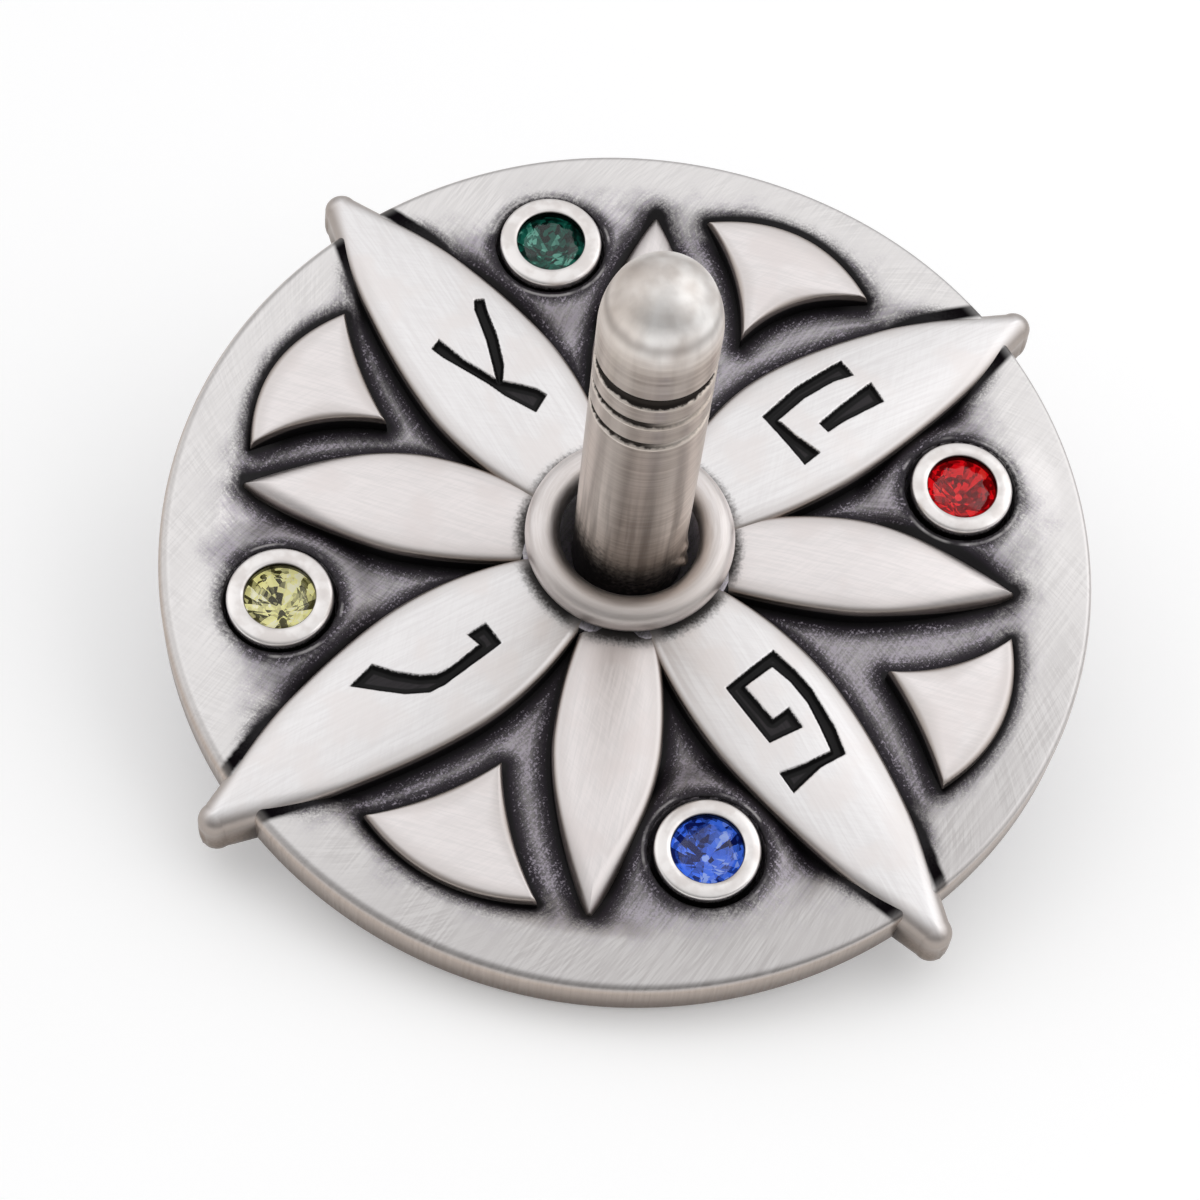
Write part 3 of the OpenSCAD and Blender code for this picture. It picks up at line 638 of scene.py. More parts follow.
def leaf(name, bearing, left_w, right_w, reach, form, rise, crown, fall, edge_r, across,
         stations, shapes=(), seed=0):
    """A leaf as rings across its length. A ring goes up the right wall, round the worn edge,
    over the crown to the left edge, down the wall and back underneath. The crown is a hoop:
    z = rise - R + sqrt((R - r + sqrt(r*r - y*y))**2 - (x - swell)**2)."""
    swell, tip_r = form["swell"], form["tip_r"]
    x = stations[:, None]
    left = leaf_half_width(x, left_w, reach=reach, **form)
    right = leaf_half_width(x, right_w, reach=reach, **form)
    half, middle = (left + right) / 2, (left - right) / 2
    hoop = fall_radius(reach - swell, fall)
    cross = fall_radius((left_w + right_w) / 2, crown)
    # The top from -1 to 1, crowded a little towards the edges
    crowd = 0.41 * math.pi
    t = np.sin(np.linspace(-crowd, crowd, across))[None, :] / math.sin(crowd)
    y = middle + t * half
    y_bent = y - middle * np.clip(1 - ((x - swell) / 9.0) ** 2, 0, 1) * 0.5
    z = (rim_z + rise - hoop + np.sqrt((hoop - cross + np.sqrt(
        np.clip(cross ** 2 - y_bent ** 2, 0, None))) ** 2 - (x - swell) ** 2))
    # Distance in from the outline, and the worn edge: z falls by 0.75 r (1 - sqrt(1 - q*q))
    inset = np.where(x > reach - tip_r, tip_r - np.hypot(x - reach + tip_r, y - middle),
                     (1 - np.abs(t)) * half)
    inset = np.clip(inset, 0, None)
    worn = edge_r * (1 + 1.6 * smooth_step(x, reach - 7.5, reach - 1.5))
    q = np.clip(1 - inset / worn, 0, 1)
    z = z - worn * 0.75 * (1 - np.sqrt(1 - q ** 2))
    z = z + hand_wobble(x + 0 * y, y, 0.03, 5.5, seed) * np.clip(inset / 0.8, 0, 1)
    uncut = -5.0
    cut = np.full(y.shape, uncut)
    for outline in shapes:
        cut = np.maximum(cut, inside_depth(x + 0 * y, y, outline))
    z = z - cut_depth * np.clip((cut + 0.02) / 0.2, 0, 1) ** 0.8
    # Each wall goes down to the underside in six steps, with a little belly
    shares = np.array([0.06, 0.2, 0.45, 0.75, 0.93, 1.0])
    flare = np.array([0.0, 0.02, 0.05, 0.06, 0.02, -0.25]) * np.clip(half / 0.4, 0, 1)
    walls = []
    for top, edge_y, sign in ((z[:, :1], -right, -1), (z[:, -1:], left, 1)):
        wall_z = top - (top - under_z - 0.03) * shares
        wall_y = middle + sign * np.maximum(sign * (edge_y - middle) + flare, 0)
        walls.append((wall_y, wall_z, wall_z - top))
    ring_y = np.concatenate([walls[0][0][:, ::-1], y, walls[1][0]], axis=1)
    ring_z = np.concatenate([walls[0][1][:, ::-1], z, walls[1][1]], axis=1)
    edge = np.concatenate([walls[0][2][:, ::-1], inset, walls[1][2]], axis=1)
    cut = np.pad(cut, ((0, 0), (len(shares), len(shares))), constant_values=uncut)
    ring_x = np.broadcast_to(x, ring_y.shape)
    # Both ends close on a point
    grid = np.stack([ring_x, ring_y, ring_z, edge, cut], axis=-1)
    columns = grid.shape[1]
    grid = np.concatenate([np.repeat(grid[:1].mean(axis=1, keepdims=True), columns, axis=1),
                           grid,
                           np.repeat(grid[-1:].mean(axis=1, keepdims=True), columns, axis=1)])
    x, y, z, edge, cut = grid.reshape(-1, 5).T
    a = math.radians(bearing)
    points = np.stack([x * math.cos(a) - y * math.sin(a), x * math.sin(a) + y * math.cos(a),
                       z], axis=1)
    return mesh_piece(name, points, grid_faces(grid.shape[0], columns)[:, ::-1],
                      {"edge": edge, "cut": cut, "along": x, "across": y})


# The plate on the relief was brushed right back to a soft satin white. The last strokes run
# along a petal and sway a little: 0.15 mm wide, some millimetres long, and hardly darker than
# the rest. The walls stay black inside the rim and are tan and bare outside it.
def relief_metal(name, light, deep, blush, lettered):
    """The relief's plate. edge is the distance in from the outline, below zero down the wall,
    along and across are places on the petal, and cut is the depth into a letter."""
    material, tree, place, _, radius, _ = silver_plate(name)
    edge, along, across = (put(tree, "ShaderNodeAttribute", attribute_name=label).outputs["Fac"]
                           for label in ("edge", "along", "across"))
    on_leaf = put(tree, "ShaderNodeCombineXYZ", {0: along, 1: across})
    lengthwise = put(tree, "ShaderNodeMapping", {0: on_leaf, "Rotation": (0.0, 0.0, -0.12),
                                                 "Scale": (2.6, 0.16, 1.0)},
                     vector_type="TEXTURE")
    strokes = put(tree, "ShaderNodeTexNoise", {"Vector": lengthwise, "Scale": 1.0,
                                               "Detail": 3.0, "Distortion": 0.5})
    slanting = put(tree, "ShaderNodeMapping", {0: on_leaf, "Rotation": (0.0, 0.0, 0.75),
                                               "Scale": (1.8, 0.14, 1.0)},
                   vector_type="TEXTURE")
    cross_strokes = put(tree, "ShaderNodeTexNoise", {"Vector": slanting, "Scale": 1.0,
                                                     "Detail": 2.0, "Distortion": 0.4})
    grain = put(tree, "ShaderNodeTexNoise", {"Vector": place, "Scale": 7.0, "Detail": 2.0})
    cloud = put(tree, "ShaderNodeTexNoise", {"Vector": place, "Scale": 0.38, "Detail": 2.0})
    both = put(tree, "ShaderNodeMath", {0: cross_strokes, 1: 0.45, 2: strokes},
               operation="MULTIPLY_ADD")
    streaks = put(tree, "ShaderNodeMapRange", {0: both, 1: 0.5, 2: 0.95},
                  interpolation_type="SMOOTHSTEP")
    silver = put(tree, "ShaderNodeMix", {0: streaks, 6: linear(deep), 7: linear(light)},
                 data_type="RGBA")
    warm = put(tree, "ShaderNodeMapRange", {0: cloud, 1: 0.46, 2: 0.66, 4: 0.6},
               interpolation_type="SMOOTHSTEP")
    # Soot stays by the collar ring and thins out in strokes
    hatch = put(tree, "ShaderNodeMapping", {0: on_leaf, "Scale": (0.7, 0.16, 1.0)},
                vector_type="TEXTURE")
    hatch = put(tree, "ShaderNodeTexNoise", {"Vector": hatch, "Scale": 1.0, "Detail": 2.0})
    ragged = put(tree, "ShaderNodeMath", {0: hatch, 1: -0.3, 2: radius},
                 operation="MULTIPLY_ADD")
    ragged = put(tree, "ShaderNodeMath", {0: grain, 1: -0.5, 2: ragged},
                 operation="MULTIPLY_ADD")
    root = put(tree, "ShaderNodeMapRange", {0: ragged, 1: 5.2, 2: 5.95, 3: 0.95, 4: 0.0},
               interpolation_type="SMOOTHSTEP")
    # Painted shade greys the top towards its edge, where it rolls off; the worn edge itself is
    # grey-tan, and at the tips it widens to a tan slope
    shade = put(tree, "ShaderNodeMapRange", {0: edge, 1: 0.2, 2: 1.1, 3: 0.5, 4: 0.0},
                interpolation_type="SMOOTHSTEP")
    slope = put(tree, "ShaderNodeMapRange", {0: radius, 1: 22.0, 2: 26.5, 3: 0.3, 4: 0.95})
    worn = put(tree, "ShaderNodeMapRange", {0: edge, 1: 0.05, 2: slope, 3: 0.85, 4: 0.0},
               interpolation_type="SMOOTHSTEP")
    tan = put(tree, "ShaderNodeMix", {0: grain, 6: linear("#6b5e55"), 7: linear("#9a8c81")},
              data_type="RGBA")
    inside_rim = put(tree, "ShaderNodeMapRange", {0: radius, 1: 24.2, 2: 26.2, 3: 1.0, 4: 0.0},
                     interpolation_type="SMOOTHSTEP")
    side = put(tree, "ShaderNodeMix", {0: inside_rim, 6: tan, 7: linear("#0d0a0c")},
               data_type="RGBA")
    top_edge = put(tree, "ShaderNodeMath", {0: inside_rim, 1: -0.47, 2: 0.44},
                   operation="MULTIPLY_ADD")
    low_edge = put(tree, "ShaderNodeMath", {0: inside_rim, 1: 0.9, 2: -1.2},
                   operation="MULTIPLY_ADD")
    down = put(tree, "ShaderNodeMapRange", {0: edge, 1: low_edge, 2: top_edge, 3: 1.0, 4: 0.0},
               interpolation_type="SMOOTHSTEP")
    colour = layered(tree, silver, ((warm, blush), (root, "#27221f"), (shade, "#c6bfbc"),
                                    (worn, "#a79c94"), (down, side)))
    dark = put(tree, "ShaderNodeMath", {0: down, 1: inside_rim}, operation="MULTIPLY")
    dark = put(tree, "ShaderNodeMath", {0: dark, 1: root}, operation="MAXIMUM")
    if lettered:
        cut = put(tree, "ShaderNodeAttribute", attribute_name="cut").outputs["Fac"]
        rough_cut = put(tree, "ShaderNodeMath", {0: grain, 1: 0.14, 2: cut},
                        operation="MULTIPLY_ADD")
        in_cut = put(tree, "ShaderNodeMapRange", {0: rough_cut, 1: 0.03, 2: 0.11},
                     interpolation_type="SMOOTHSTEP")
        # A faint painted highlight runs as a light thread along the middle of a stroke
        cut_highlight = put(tree, "ShaderNodeMapRange", {0: cut, 1: 0.34, 2: 0.44, 4: 0.7},
                     interpolation_type="SMOOTHSTEP")
        cut_highlight = put(tree, "ShaderNodeMath", {0: cut_highlight, 1: strokes}, operation="MULTIPLY")
        black = put(tree, "ShaderNodeMix", {0: cut_highlight, 6: linear("#060506"),
                                            7: linear("#4a4549")}, data_type="RGBA")
        colour = put(tree, "ShaderNodeMix", {0: in_cut, 6: colour, 7: black},
                     data_type="RGBA")
        dark = put(tree, "ShaderNodeMath", {0: dark, 1: in_cut}, operation="MAXIMUM")
    metal = put(tree, "ShaderNodeMath", {0: dark, 1: -0.5, 2: 1.0}, operation="MULTIPLY_ADD")
    rough = put(tree, "ShaderNodeMath", {0: streaks, 1: 0.06, 2: 0.36},
                operation="MULTIPLY_ADD")
    rough = put(tree, "ShaderNodeMath", {0: dark, 1: 0.15, 2: rough}, operation="MULTIPLY_ADD")
    plate_shader(tree, colour, metal, rough, both, 0.06, 0.03)
    return material


letter_metal = relief_metal("brushed silver plate, letter petals", "#f2f0f0", "#e8e5e5",
                            "#ebe5e3", True)
# Rings lie closest where the letter is, and crowd towards the end of the tip
lettered_from, lettered_to, tip_run = 8.8, 17.2, 1.0
for i, leaf_sizes in enumerate(letter_leaves):
    reach = leaf_sizes[3]
    stations = np.concatenate([
        np.linspace(ring_mid_r, lettered_from, 30, endpoint=False),
        np.linspace(lettered_from, lettered_to, 168, endpoint=False),
        np.linspace(lettered_to, reach - tip_run, 62, endpoint=False),
        reach - tip_run * np.cos(np.linspace(0, np.pi / 2, 30))])
    petal = leaf("letter_petal_%d" % (i + 1), *leaf_sizes, letter_form, rise=0.8, crown=0.4,
                 fall=0.95, edge_r=0.42, across=165, stations=stations,
                 shapes=letter_shapes[i], seed=11 + i)
    petal.data.materials.append(letter_metal)
    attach(petal, "root")
    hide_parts("disc")

# The casting's four plain petals stand between the letter petals: shorter leaves of the same
# kind, whose narrow tips stop at the rim band. They were brushed more lightly and are warmer.
plain_metal = relief_metal("brushed silver plate, plain petals", "#efe9e8", "#e4dfde",
                           "#e5dddb", False)
tip_run = 0.8
for i, leaf_sizes in enumerate(plain_leaves):
    reach = leaf_sizes[3]
    stations = np.concatenate([np.linspace(ring_mid_r, reach - tip_run, 120, endpoint=False),
                               reach - tip_run * np.cos(np.linspace(0, np.pi / 2, 20))])
    petal = leaf("plain_petal_%d" % (i + 1), *leaf_sizes, plain_form, rise=0.65, crown=0.3,
                 fall=0.6, edge_r=0.4, across=81, stations=stations, seed=31 + i)
    petal.data.materials.append(plain_metal)
    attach(petal, "root")
    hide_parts("disc")

# The casting's four curved triangles, one in each quarter: low tiles with two hollow sides
# that follow the petals and a round side that follows the rim. Brushed like the plain petals.
tile_rise, tile_crown, tile_half_run, tile_worn, tile_foot_z = 0.45, 0.25, 6.7, 0.36, 9.55


def tile(name, corners, bows, seed):
    """A tile as rings inside its outline. A ring is the outline drawn towards the middle by a
    share: the wall, the worn edge, and then the crowned top, down to one point."""
    line = bowed_outline(corners, bows, 60)
    middle = line.mean(axis=0)
    spread = np.hypot(*(line - middle).T)
    shares = np.concatenate([[1.025, 1.02, 1.01, 1.0], 1 - np.array([0.004, 0.012, 0.025, 0.045,
                             0.07, 0.1]), np.linspace(0.86, 0.0, 18)])
    rings = middle + (line - middle)[None] * shares[:, None, None]
    inset = np.clip((1 - shares)[:, None] * spread[None] * 0.8, 0, None)
    q = np.clip(1 - inset / tile_worn, 0, 1)
    away = np.hypot(rings[..., 0] - middle[0], rings[..., 1] - middle[1])
    z = rim_z + tile_rise - away ** 2 / (2 * fall_radius(tile_half_run, tile_crown))
    z = z - tile_worn * 0.8 * (1 - np.sqrt(1 - q ** 2))
    z = z + hand_wobble(rings[..., 0], rings[..., 1], 0.02, 4.5, seed) * np.clip(inset / 0.6,
                                                                               0, 1)
    top = z[3].copy()
    z[2] = top - 0.15
    z[1] = top - 0.6
    z[0] = tile_foot_z
    edge = np.where(np.arange(len(shares))[:, None] < 3, z - top[None], inset)
    grid = np.stack([rings[..., 0], rings[..., 1], z, edge], axis=-1)
    under = np.broadcast_to([*middle, tile_foot_z, -1.0], (1, len(line), 4))
    x, y, z, edge = np.concatenate([under, grid]).reshape(-1, 4).T
    return mesh_piece(name, np.stack([x, y, z], axis=1), grid_faces(len(shares) + 1, len(line)),
                      {"edge": edge, "along": x, "across": y})


for i, (corners, bows) in enumerate(triangles):
    piece = tile("curved_triangle_%d" % (i + 1), corners, bows, 51 + i)
    piece.data.materials.append(plain_metal)
    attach(piece, "root")
    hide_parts("disc")

# The collar ring: a ring of round wire, bent, closed and brushed, lying on its seat round the
# foot of the handle. Soot stays under it, inside it and in the crease outside.
wire_steps, ring_steps, ring_wire_r = 65, 288, 0.95
wire = np.linspace(0, 2 * np.pi, wire_steps)[:, None]
around = np.arange(ring_steps)[None, :] * 2 * np.pi / ring_steps
# The wire was drawn by hand and is up to a fiftieth thinner in three places
wire_r = ring_wire_r * (0.99 + 0.01 * np.sin(3 * around + 1.0))
ring_r = ring_mid_r + wire_r * np.cos(wire)
points = np.stack([ring_r * np.cos(around), ring_r * np.sin(around),
                   ring_seat_z + wire_r * (1 + np.sin(wire))], axis=-1)
ring = mesh_piece("wire_ring", points.reshape(-1, 3), grid_faces(wire_steps, ring_steps))

# Brushed silver plate on wire: strokes run round the ring, 0.12 mm apart and quite faint
ring_metal, tree, place, height, radius, outward = silver_plate("brushed silver plate, ring")
round_place = put(tree, "ShaderNodeVectorMath", {0: outward, "Scale": 3.0}, operation="SCALE")
spread = put(tree, "ShaderNodeMath", {0: radius, 1: 8.0}, operation="MULTIPLY")
spread = put(tree, "ShaderNodeCombineXYZ", {2: spread})
round_place = put(tree, "ShaderNodeVectorMath", {0: round_place, 1: spread}, operation="ADD")
strokes = put(tree, "ShaderNodeTexNoise", {"Vector": round_place, "Scale": 1.0, "Detail": 3.0})
grain = put(tree, "ShaderNodeTexNoise", {"Vector": place, "Scale": 5.0, "Detail": 2.0})
streaks = put(tree, "ShaderNodeMapRange", {0: strokes, 1: 0.35, 2: 0.65},
              interpolation_type="SMOOTHSTEP")
silver = put(tree, "ShaderNodeMix", {0: streaks, 6: linear("#dcd5d2"), 7: linear("#e8e2e0")},
             data_type="RGBA")
# The front of the ring is painted browner, as painted shade
at_front = put(tree, "ShaderNodeVectorMath", {0: outward, 1: (0.1, -0.99, 0.0)},
               operation="DOT_PRODUCT")
at_front = put(tree, "ShaderNodeMapRange", {0: at_front, 1: -0.1, 2: 0.9, 4: 0.6},
               interpolation_type="SMOOTHSTEP")
soot_edge = put(tree, "ShaderNodeMath", {0: grain, 1: 0.5, 2: height},
                operation="MULTIPLY_ADD")
soot = put(tree, "ShaderNodeMapRange", {0: soot_edge, 1: 11.8, 2: 12.35, 3: 1.0, 4: 0.0},
           interpolation_type="SMOOTHSTEP")
colour = layered(tree, silver, ((at_front, "#b8afa9"), (soot, "#15110f")))
rough = put(tree, "ShaderNodeMath", {0: streaks, 1: 0.04, 2: 0.4}, operation="MULTIPLY_ADD")
plate_shader(tree, colour, 1.0, rough, strokes, 0.08, 0.03)
ring.data.materials.append(ring_metal)
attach(ring, "root")
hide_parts("collar_ring")

# The four bezel cups: short tubes with a floor, whose broad lip is rolled over the stone's
# edge and burnished flat. Only the lip and a little of the wall stand out of the pocket.
stone_names = ("red", "green", "yellow", "blue")
bezel_rs = (2.78, 2.88, 2.86, 2.78)
lip_r, stone_r, ledge_r = 1.88, 1.96, 1.521
girdle_top_z, lip_top_z, cup_floor_z, ledge_z = 10.9, 11.54, 9.19, 10.42
low_round, lip_round, bezel_steps = 0.15, 0.26, 128
bezel_metal, tree, place, height, _, _ = silver_plate("burnished silver plate")
inner = put(tree, "ShaderNodeAttribute", attribute_name="inner").outputs["Fac"]
marks = put(tree, "ShaderNodeTexNoise", {"Vector": place, "Scale": 1.1, "Detail": 3.0})
grain = put(tree, "ShaderNodeTexNoise", {"Vector": place, "Scale": 9.0, "Detail": 2.0})
burnish = put(tree, "ShaderNodeMapRange", {0: marks, 1: 0.38, 2: 0.66},
              interpolation_type="SMOOTHSTEP")
silver = put(tree, "ShaderNodeMix", {0: burnish, 6: linear("#f1edeb"), 7: linear("#e2dcd9")},
             data_type="RGBA")
soot_edge = put(tree, "ShaderNodeMath", {0: grain, 1: 0.4, 2: height},
                operation="MULTIPLY_ADD")
soot = put(tree, "ShaderNodeMapRange", {0: soot_edge, 1: 11.1, 2: 11.42, 3: 1.0, 4: 0.0},
           interpolation_type="SMOOTHSTEP")
soot = put(tree, "ShaderNodeMath", {0: soot, 1: inner}, operation="MAXIMUM")
colour = put(tree, "ShaderNodeMix", {0: soot, 6: silver, 7: linear("#191413")},
             data_type="RGBA")
rough = put(tree, "ShaderNodeMath", {0: burnish, 1: 0.1, 2: 0.28}, operation="MULTIPLY_ADD")
plate_shader(tree, colour, 1.0, rough, marks, 0.1, 0.04)
for i, (name, body_r) in enumerate(zip(stone_names, bezel_rs)):
    outside = np.concatenate([[[0, cup_low_z], [body_r - low_round, cup_low_z],
                               [body_r, cup_low_z + low_round], [body_r, 10.6]],
                              arc(body_r - lip_round, lip_top_z - 0.3, lip_round, 0, 82, 9),
                              [[2.35, lip_top_z], [2.15, lip_top_z],
                               [lip_r + 0.06, lip_top_z - 0.02]]])
    inside = [[lip_r, lip_top_z - 0.08], [lip_r, girdle_top_z + 0.06],
              [stone_r, girdle_top_z + 0.02], [stone_r, girdle_top_z - 0.25],
              [ledge_r, ledge_z], [ledge_r, cup_floor_z], [0, cup_floor_z]]
    points, faces = lathe(np.concatenate([outside, inside]), bezel_steps, stone_places[i])
    inner = np.repeat([0.0] * len(outside) + [1.0] * len(inside), bezel_steps)
    # Pressed by hand, each cup is a little oval outside
    away = points[:, :2] - stone_places[i]
    swing = np.arctan2(away[:, 1], away[:, 0])
    outer_part = np.hypot(away[:, 0], away[:, 1]) > 2.3
    dent = 1 - 0.008 * (1 + np.sin(2 * swing + i)) * outer_part
    points[:, :2] = stone_places[i] + away * dent[:, None]
    bezel = mesh_piece("bezel_cup_" + name, points, faces, {"inner": inner})
    bezel.data.materials.append(bezel_metal)
    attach(bezel, "root")
    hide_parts("bezel_" + name)

# The four stones: machine-cut lead crystal, round brilliants, with lacquered foil on the facets
# below. The CAD nodes have every facet, so they stay. The foil is a skin on their lower facets.
# The lacquer's colour on a foil's facets painted dark, on those painted bright and in the
# painted glints among them: painted reflections
foil_tones = {"red": ("#6a0006", "#ff1626", "#ff5a4c"),
              "green": ("#02100d", "#1d6e60", "#8fd0c0"),
              "yellow": ("#2e2a10", "#fffcc8", "#ffffff"),
              "blue": ("#030f4c", "#5c94ff", "#d6e6ff")}
# A crystal's tint where it is deep and where it is pale
crystal_tints = {"red": ("#f8a8a8", "#ffdcdc"), "green": ("#a8d8cc", "#dcf2ec"),
                 "yellow": ("#faf6cc", "#fffdf0"), "blue": ("#acc2f8", "#dfe8ff")}


def lacquered_foil(name):
    """Crinkled foil, whose facets are painted dark or bright by a tone of their own, with
    painted glints: painted reflections. It also glows a little, painted light that stands for
    what a cut crystal gathers from all round."""
    material, tree = empty_material("lacquered foil, " + name)
    tone = put(tree, "ShaderNodeAttribute", attribute_name="tone").outputs["Fac"]
    crinkle = put(tree, "ShaderNodeTexVoronoi", {"Vector": place_in_mm(tree), "Scale": 3.2})
    painted_shine = put(tree, "ShaderNodeMath", {0: crinkle.outputs["Color"], 1: 1.1, 2: tone},
                operation="MULTIPLY_ADD")
    painted_glint = put(tree, "ShaderNodeMapRange", {0: painted_shine, 1: 1.45, 2: 1.6, 3: 0.0, 4: 0.8})
    painted_shine = put(tree, "ShaderNodeMapRange", {0: painted_shine, 1: 0.7, 2: 1.3})
    dim, lively, pale = foil_tones[name]
    lacquer = put(tree, "ShaderNodeMix", {0: painted_shine, 6: linear(dim), 7: linear(lively)},
                  data_type="RGBA")
    lacquer = put(tree, "ShaderNodeMix", {0: painted_glint, 6: lacquer, 7: linear(pale)},
                  data_type="RGBA")
    # The foil's own glow is painted light
    shader = put(tree, "ShaderNodeBsdfPrincipled", {"Base Color": lacquer, "Metallic": 0.15,
                                                    "Roughness": 0.35, "Emission Color": lacquer,
                                                    "Emission Strength": 0.28})
    put(tree, "ShaderNodeOutputMaterial", {"Surface": shader})
    return material


def cut_crystal(name):
    """Clear crystal with a drifting tint. The lamps' light falls through it to the foil as if
    through clear tinted glass."""
    material, tree = empty_material("cut crystal, " + name)
    drift = put(tree, "ShaderNodeTexNoise", {"Vector": place_in_mm(tree), "Scale": 0.6,
                                             "Detail": 2.0})
    drift = put(tree, "ShaderNodeMapRange", {0: drift, 1: 0.35, 2: 0.65})
    deep, pale = crystal_tints[name]
    tint = put(tree, "ShaderNodeMix", {0: drift, 6: linear(deep), 7: linear(pale)},
               data_type="RGBA")
    glass = put(tree, "ShaderNodeBsdfPrincipled", {"Base Color": tint, "Roughness": 0.02,
                                                   "IOR": 1.55, "Transmission Weight": 1.0})
    passing = put(tree, "ShaderNodeBsdfTransparent", {"Color": tint})
    shadow = put(tree, "ShaderNodeLightPath").outputs["Is Shadow Ray"]
    shader = put(tree, "ShaderNodeMixShader", {0: shadow, 1: glass, 2: passing})
    put(tree, "ShaderNodeOutputMaterial", {"Surface": shader})
    return material


def lower_facets(stone, place):
    """Points and faces of a skin just inside a stone: its triangles whose normal falls by more
    than 0.3, drawn in a little towards its axis and lifted by a fiftieth of a millimetre."""
    source = stone.data
    co = np.empty(len(source.vertices) * 3, np.float32)
    source.vertices.foreach_get("co", co)
    co = co.reshape(-1, 3) / mm
    source.calc_loop_triangles()
    tri = np.empty(len(source.loop_triangles) * 3, np.int32)
    source.loop_triangles.foreach_get("vertices", tri)
    tri = tri.reshape(-1, 3)
    normal = np.cross(co[tri[:, 1]] - co[tri[:, 0]], co[tri[:, 2]] - co[tri[:, 0]])
    length = np.linalg.norm(normal, axis=1)
    tri = tri[normal[:, 2] < -0.3 * np.maximum(length, 1e-9)]
    centre = np.array([*place, rim_z])
    drawn_in = centre + (co - centre) * (0.993, 0.993, 1.0) + (0, 0, 0.02)
    return drawn_in, tri[:, [0, 1, 2, 2]]


rng = np.random.default_rng(7)
for name, stone_place in zip(stone_names, stone_places):
    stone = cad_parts["stone_" + name]
    stone.data.materials.clear()
    stone.data.materials.append(cut_crystal(name))
    backing = mesh_piece("foil_" + name, *lower_facets(stone, stone_place))
    faces = backing.data.polygons
    faces.foreach_set("use_smooth", np.full(len(faces), False))
    # One tone for each facet, a painted reflection, so that some look lit and some stay dark
    facing = np.empty(len(faces) * 3, np.float32)
    faces.foreach_get("normal", facing)
    _, facet = np.unique(np.round(facing.reshape(-1, 3), 2), axis=0, return_inverse=True)
    facet = facet.reshape(-1)
    tones = backing.data.attributes.new("tone", "FLOAT", "FACE")
    tones.data.foreach_set("value", rng.random(facet.max() + 1)[facet].astype(np.float32))
    backing.data.materials.append(lacquered_foil(name))
    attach(backing, "root")

# The spindle: a rod of the same metal, turned on a lathe. It has a ball point and a cone below,
# a thinner stretch through the disc, three grooves under the neck and a domed end. The plating
# is thin and warm here, and the tool's lines run round it.
shank_r, tenon_r, top_z = 3.0, 2.5, 37.6
dome_h, dome_base_r, neck_h = 2.0, 2.64, 2.2
dome_z, neck_z = top_z - dome_h, top_z - dome_h - neck_h
point_r, cone_angle = 0.8, 32
# Each groove's height, half width and depth, and the stretch in which the grooves lie
grooves = ((31.1, 0.52, 0.36), (29.1, 0.33, 0.24), (27.1, 0.33, 0.24))
grooves_from, grooves_to = 26.7, 31.7
turn_steps = 224


def spindle_radius(z):
    """Radius of the straight part with its grooves and neck: each groove takes away
    depth * (1 - (distance / half width)**2) ** 0.6, and the neck falls as an arc."""
    r = np.full(z.shape, shank_r)
    for groove_z, half, depth in grooves:
        r = r - depth * np.clip(1 - ((z - groove_z) / half) ** 2, 0, None) ** 0.6
    neck_arc = fall_radius(neck_h, shank_r - dome_base_r)
    run = np.clip(z - neck_z, 0, neck_h)
    return r - (neck_arc - np.sqrt(neck_arc ** 2 - run ** 2))


shaft_z = np.concatenate([np.linspace(field_z + 0.05, grooves_from, 60, endpoint=False),
                          np.linspace(grooves_from, grooves_to, 110, endpoint=False),
                          np.linspace(grooves_to, dome_z - 0.03, 40)])
dome_sphere = fall_radius(dome_base_r, dome_h)
dome_edge = math.degrees(math.asin((dome_sphere - dome_h) / dome_sphere))
profile = np.concatenate([
    arc(0, point_r, point_r, -90, -cone_angle, 9),
    [[1.5, 1.68], [tenon_r - 0.04, 3.22], [tenon_r, 3.34], [tenon_r, field_z],
     [shank_r, field_z]],
    np.stack([spindle_radius(shaft_z), shaft_z], axis=1),
    arc(0, top_z - dome_sphere, dome_sphere, dome_edge, 90, 34),
])
points, faces = lathe(profile, turn_steps)
swing = np.arctan2(points[:, 1], points[:, 0])
dent = 1 - 0.004 * (1 + np.sin(2 * swing + points[:, 2] * 0.25)) / 2
# A drop of solder clings to the foot of the handle, on the right
drop_swing, drop_half_swing, drop_z, drop_half_h, drop_share = -0.35, 0.22, 12.6, 0.75, 0.13
drop = np.exp(-((swing - drop_swing) / drop_half_swing) ** 2
              - ((points[:, 2] - drop_z) / drop_half_h) ** 2)
drop = drop * (1 + 0.5 * np.sin(9 * swing + 5 * points[:, 2])) * (points[:, 2] > field_z + 0.1)
points[:, :2] *= (dent + drop_share * drop)[:, None]
sunk = np.where(profile[:, 1] < neck_z, shank_r - profile[:, 0], 0.0)
spindle = mesh_piece("turned_spindle", points, faces, {"sunk": np.repeat(sunk, turn_steps)})

# Thin silver plate on turned pewter: the tool's lines are 0.2 mm apart, drawn soft
spindle_metal, tree, place, height, radius, outward = silver_plate("turned silver plate")
sunk = put(tree, "ShaderNodeAttribute", attribute_name="sunk").outputs["Fac"]
turned = put(tree, "ShaderNodeMapping", {0: place, "Scale": (0.12, 0.12, 4.5)})
turned = put(tree, "ShaderNodeTexNoise", {"Vector": turned, "Scale": 1.0, "Detail": 3.0,
                                          "Roughness": 0.6})
smear = put(tree, "ShaderNodeMapping", {0: place, "Scale": (0.6, 0.6, 0.14)})
smear = put(tree, "ShaderNodeTexNoise", {"Vector": smear, "Scale": 1.0, "Detail": 3.0})
grain = put(tree, "ShaderNodeTexNoise", {"Vector": place, "Scale": 4.0, "Detail": 2.0})
lines = put(tree, "ShaderNodeMapRange", {0: turned, 1: 0.3, 2: 0.7},
            interpolation_type="SMOOTHSTEP")
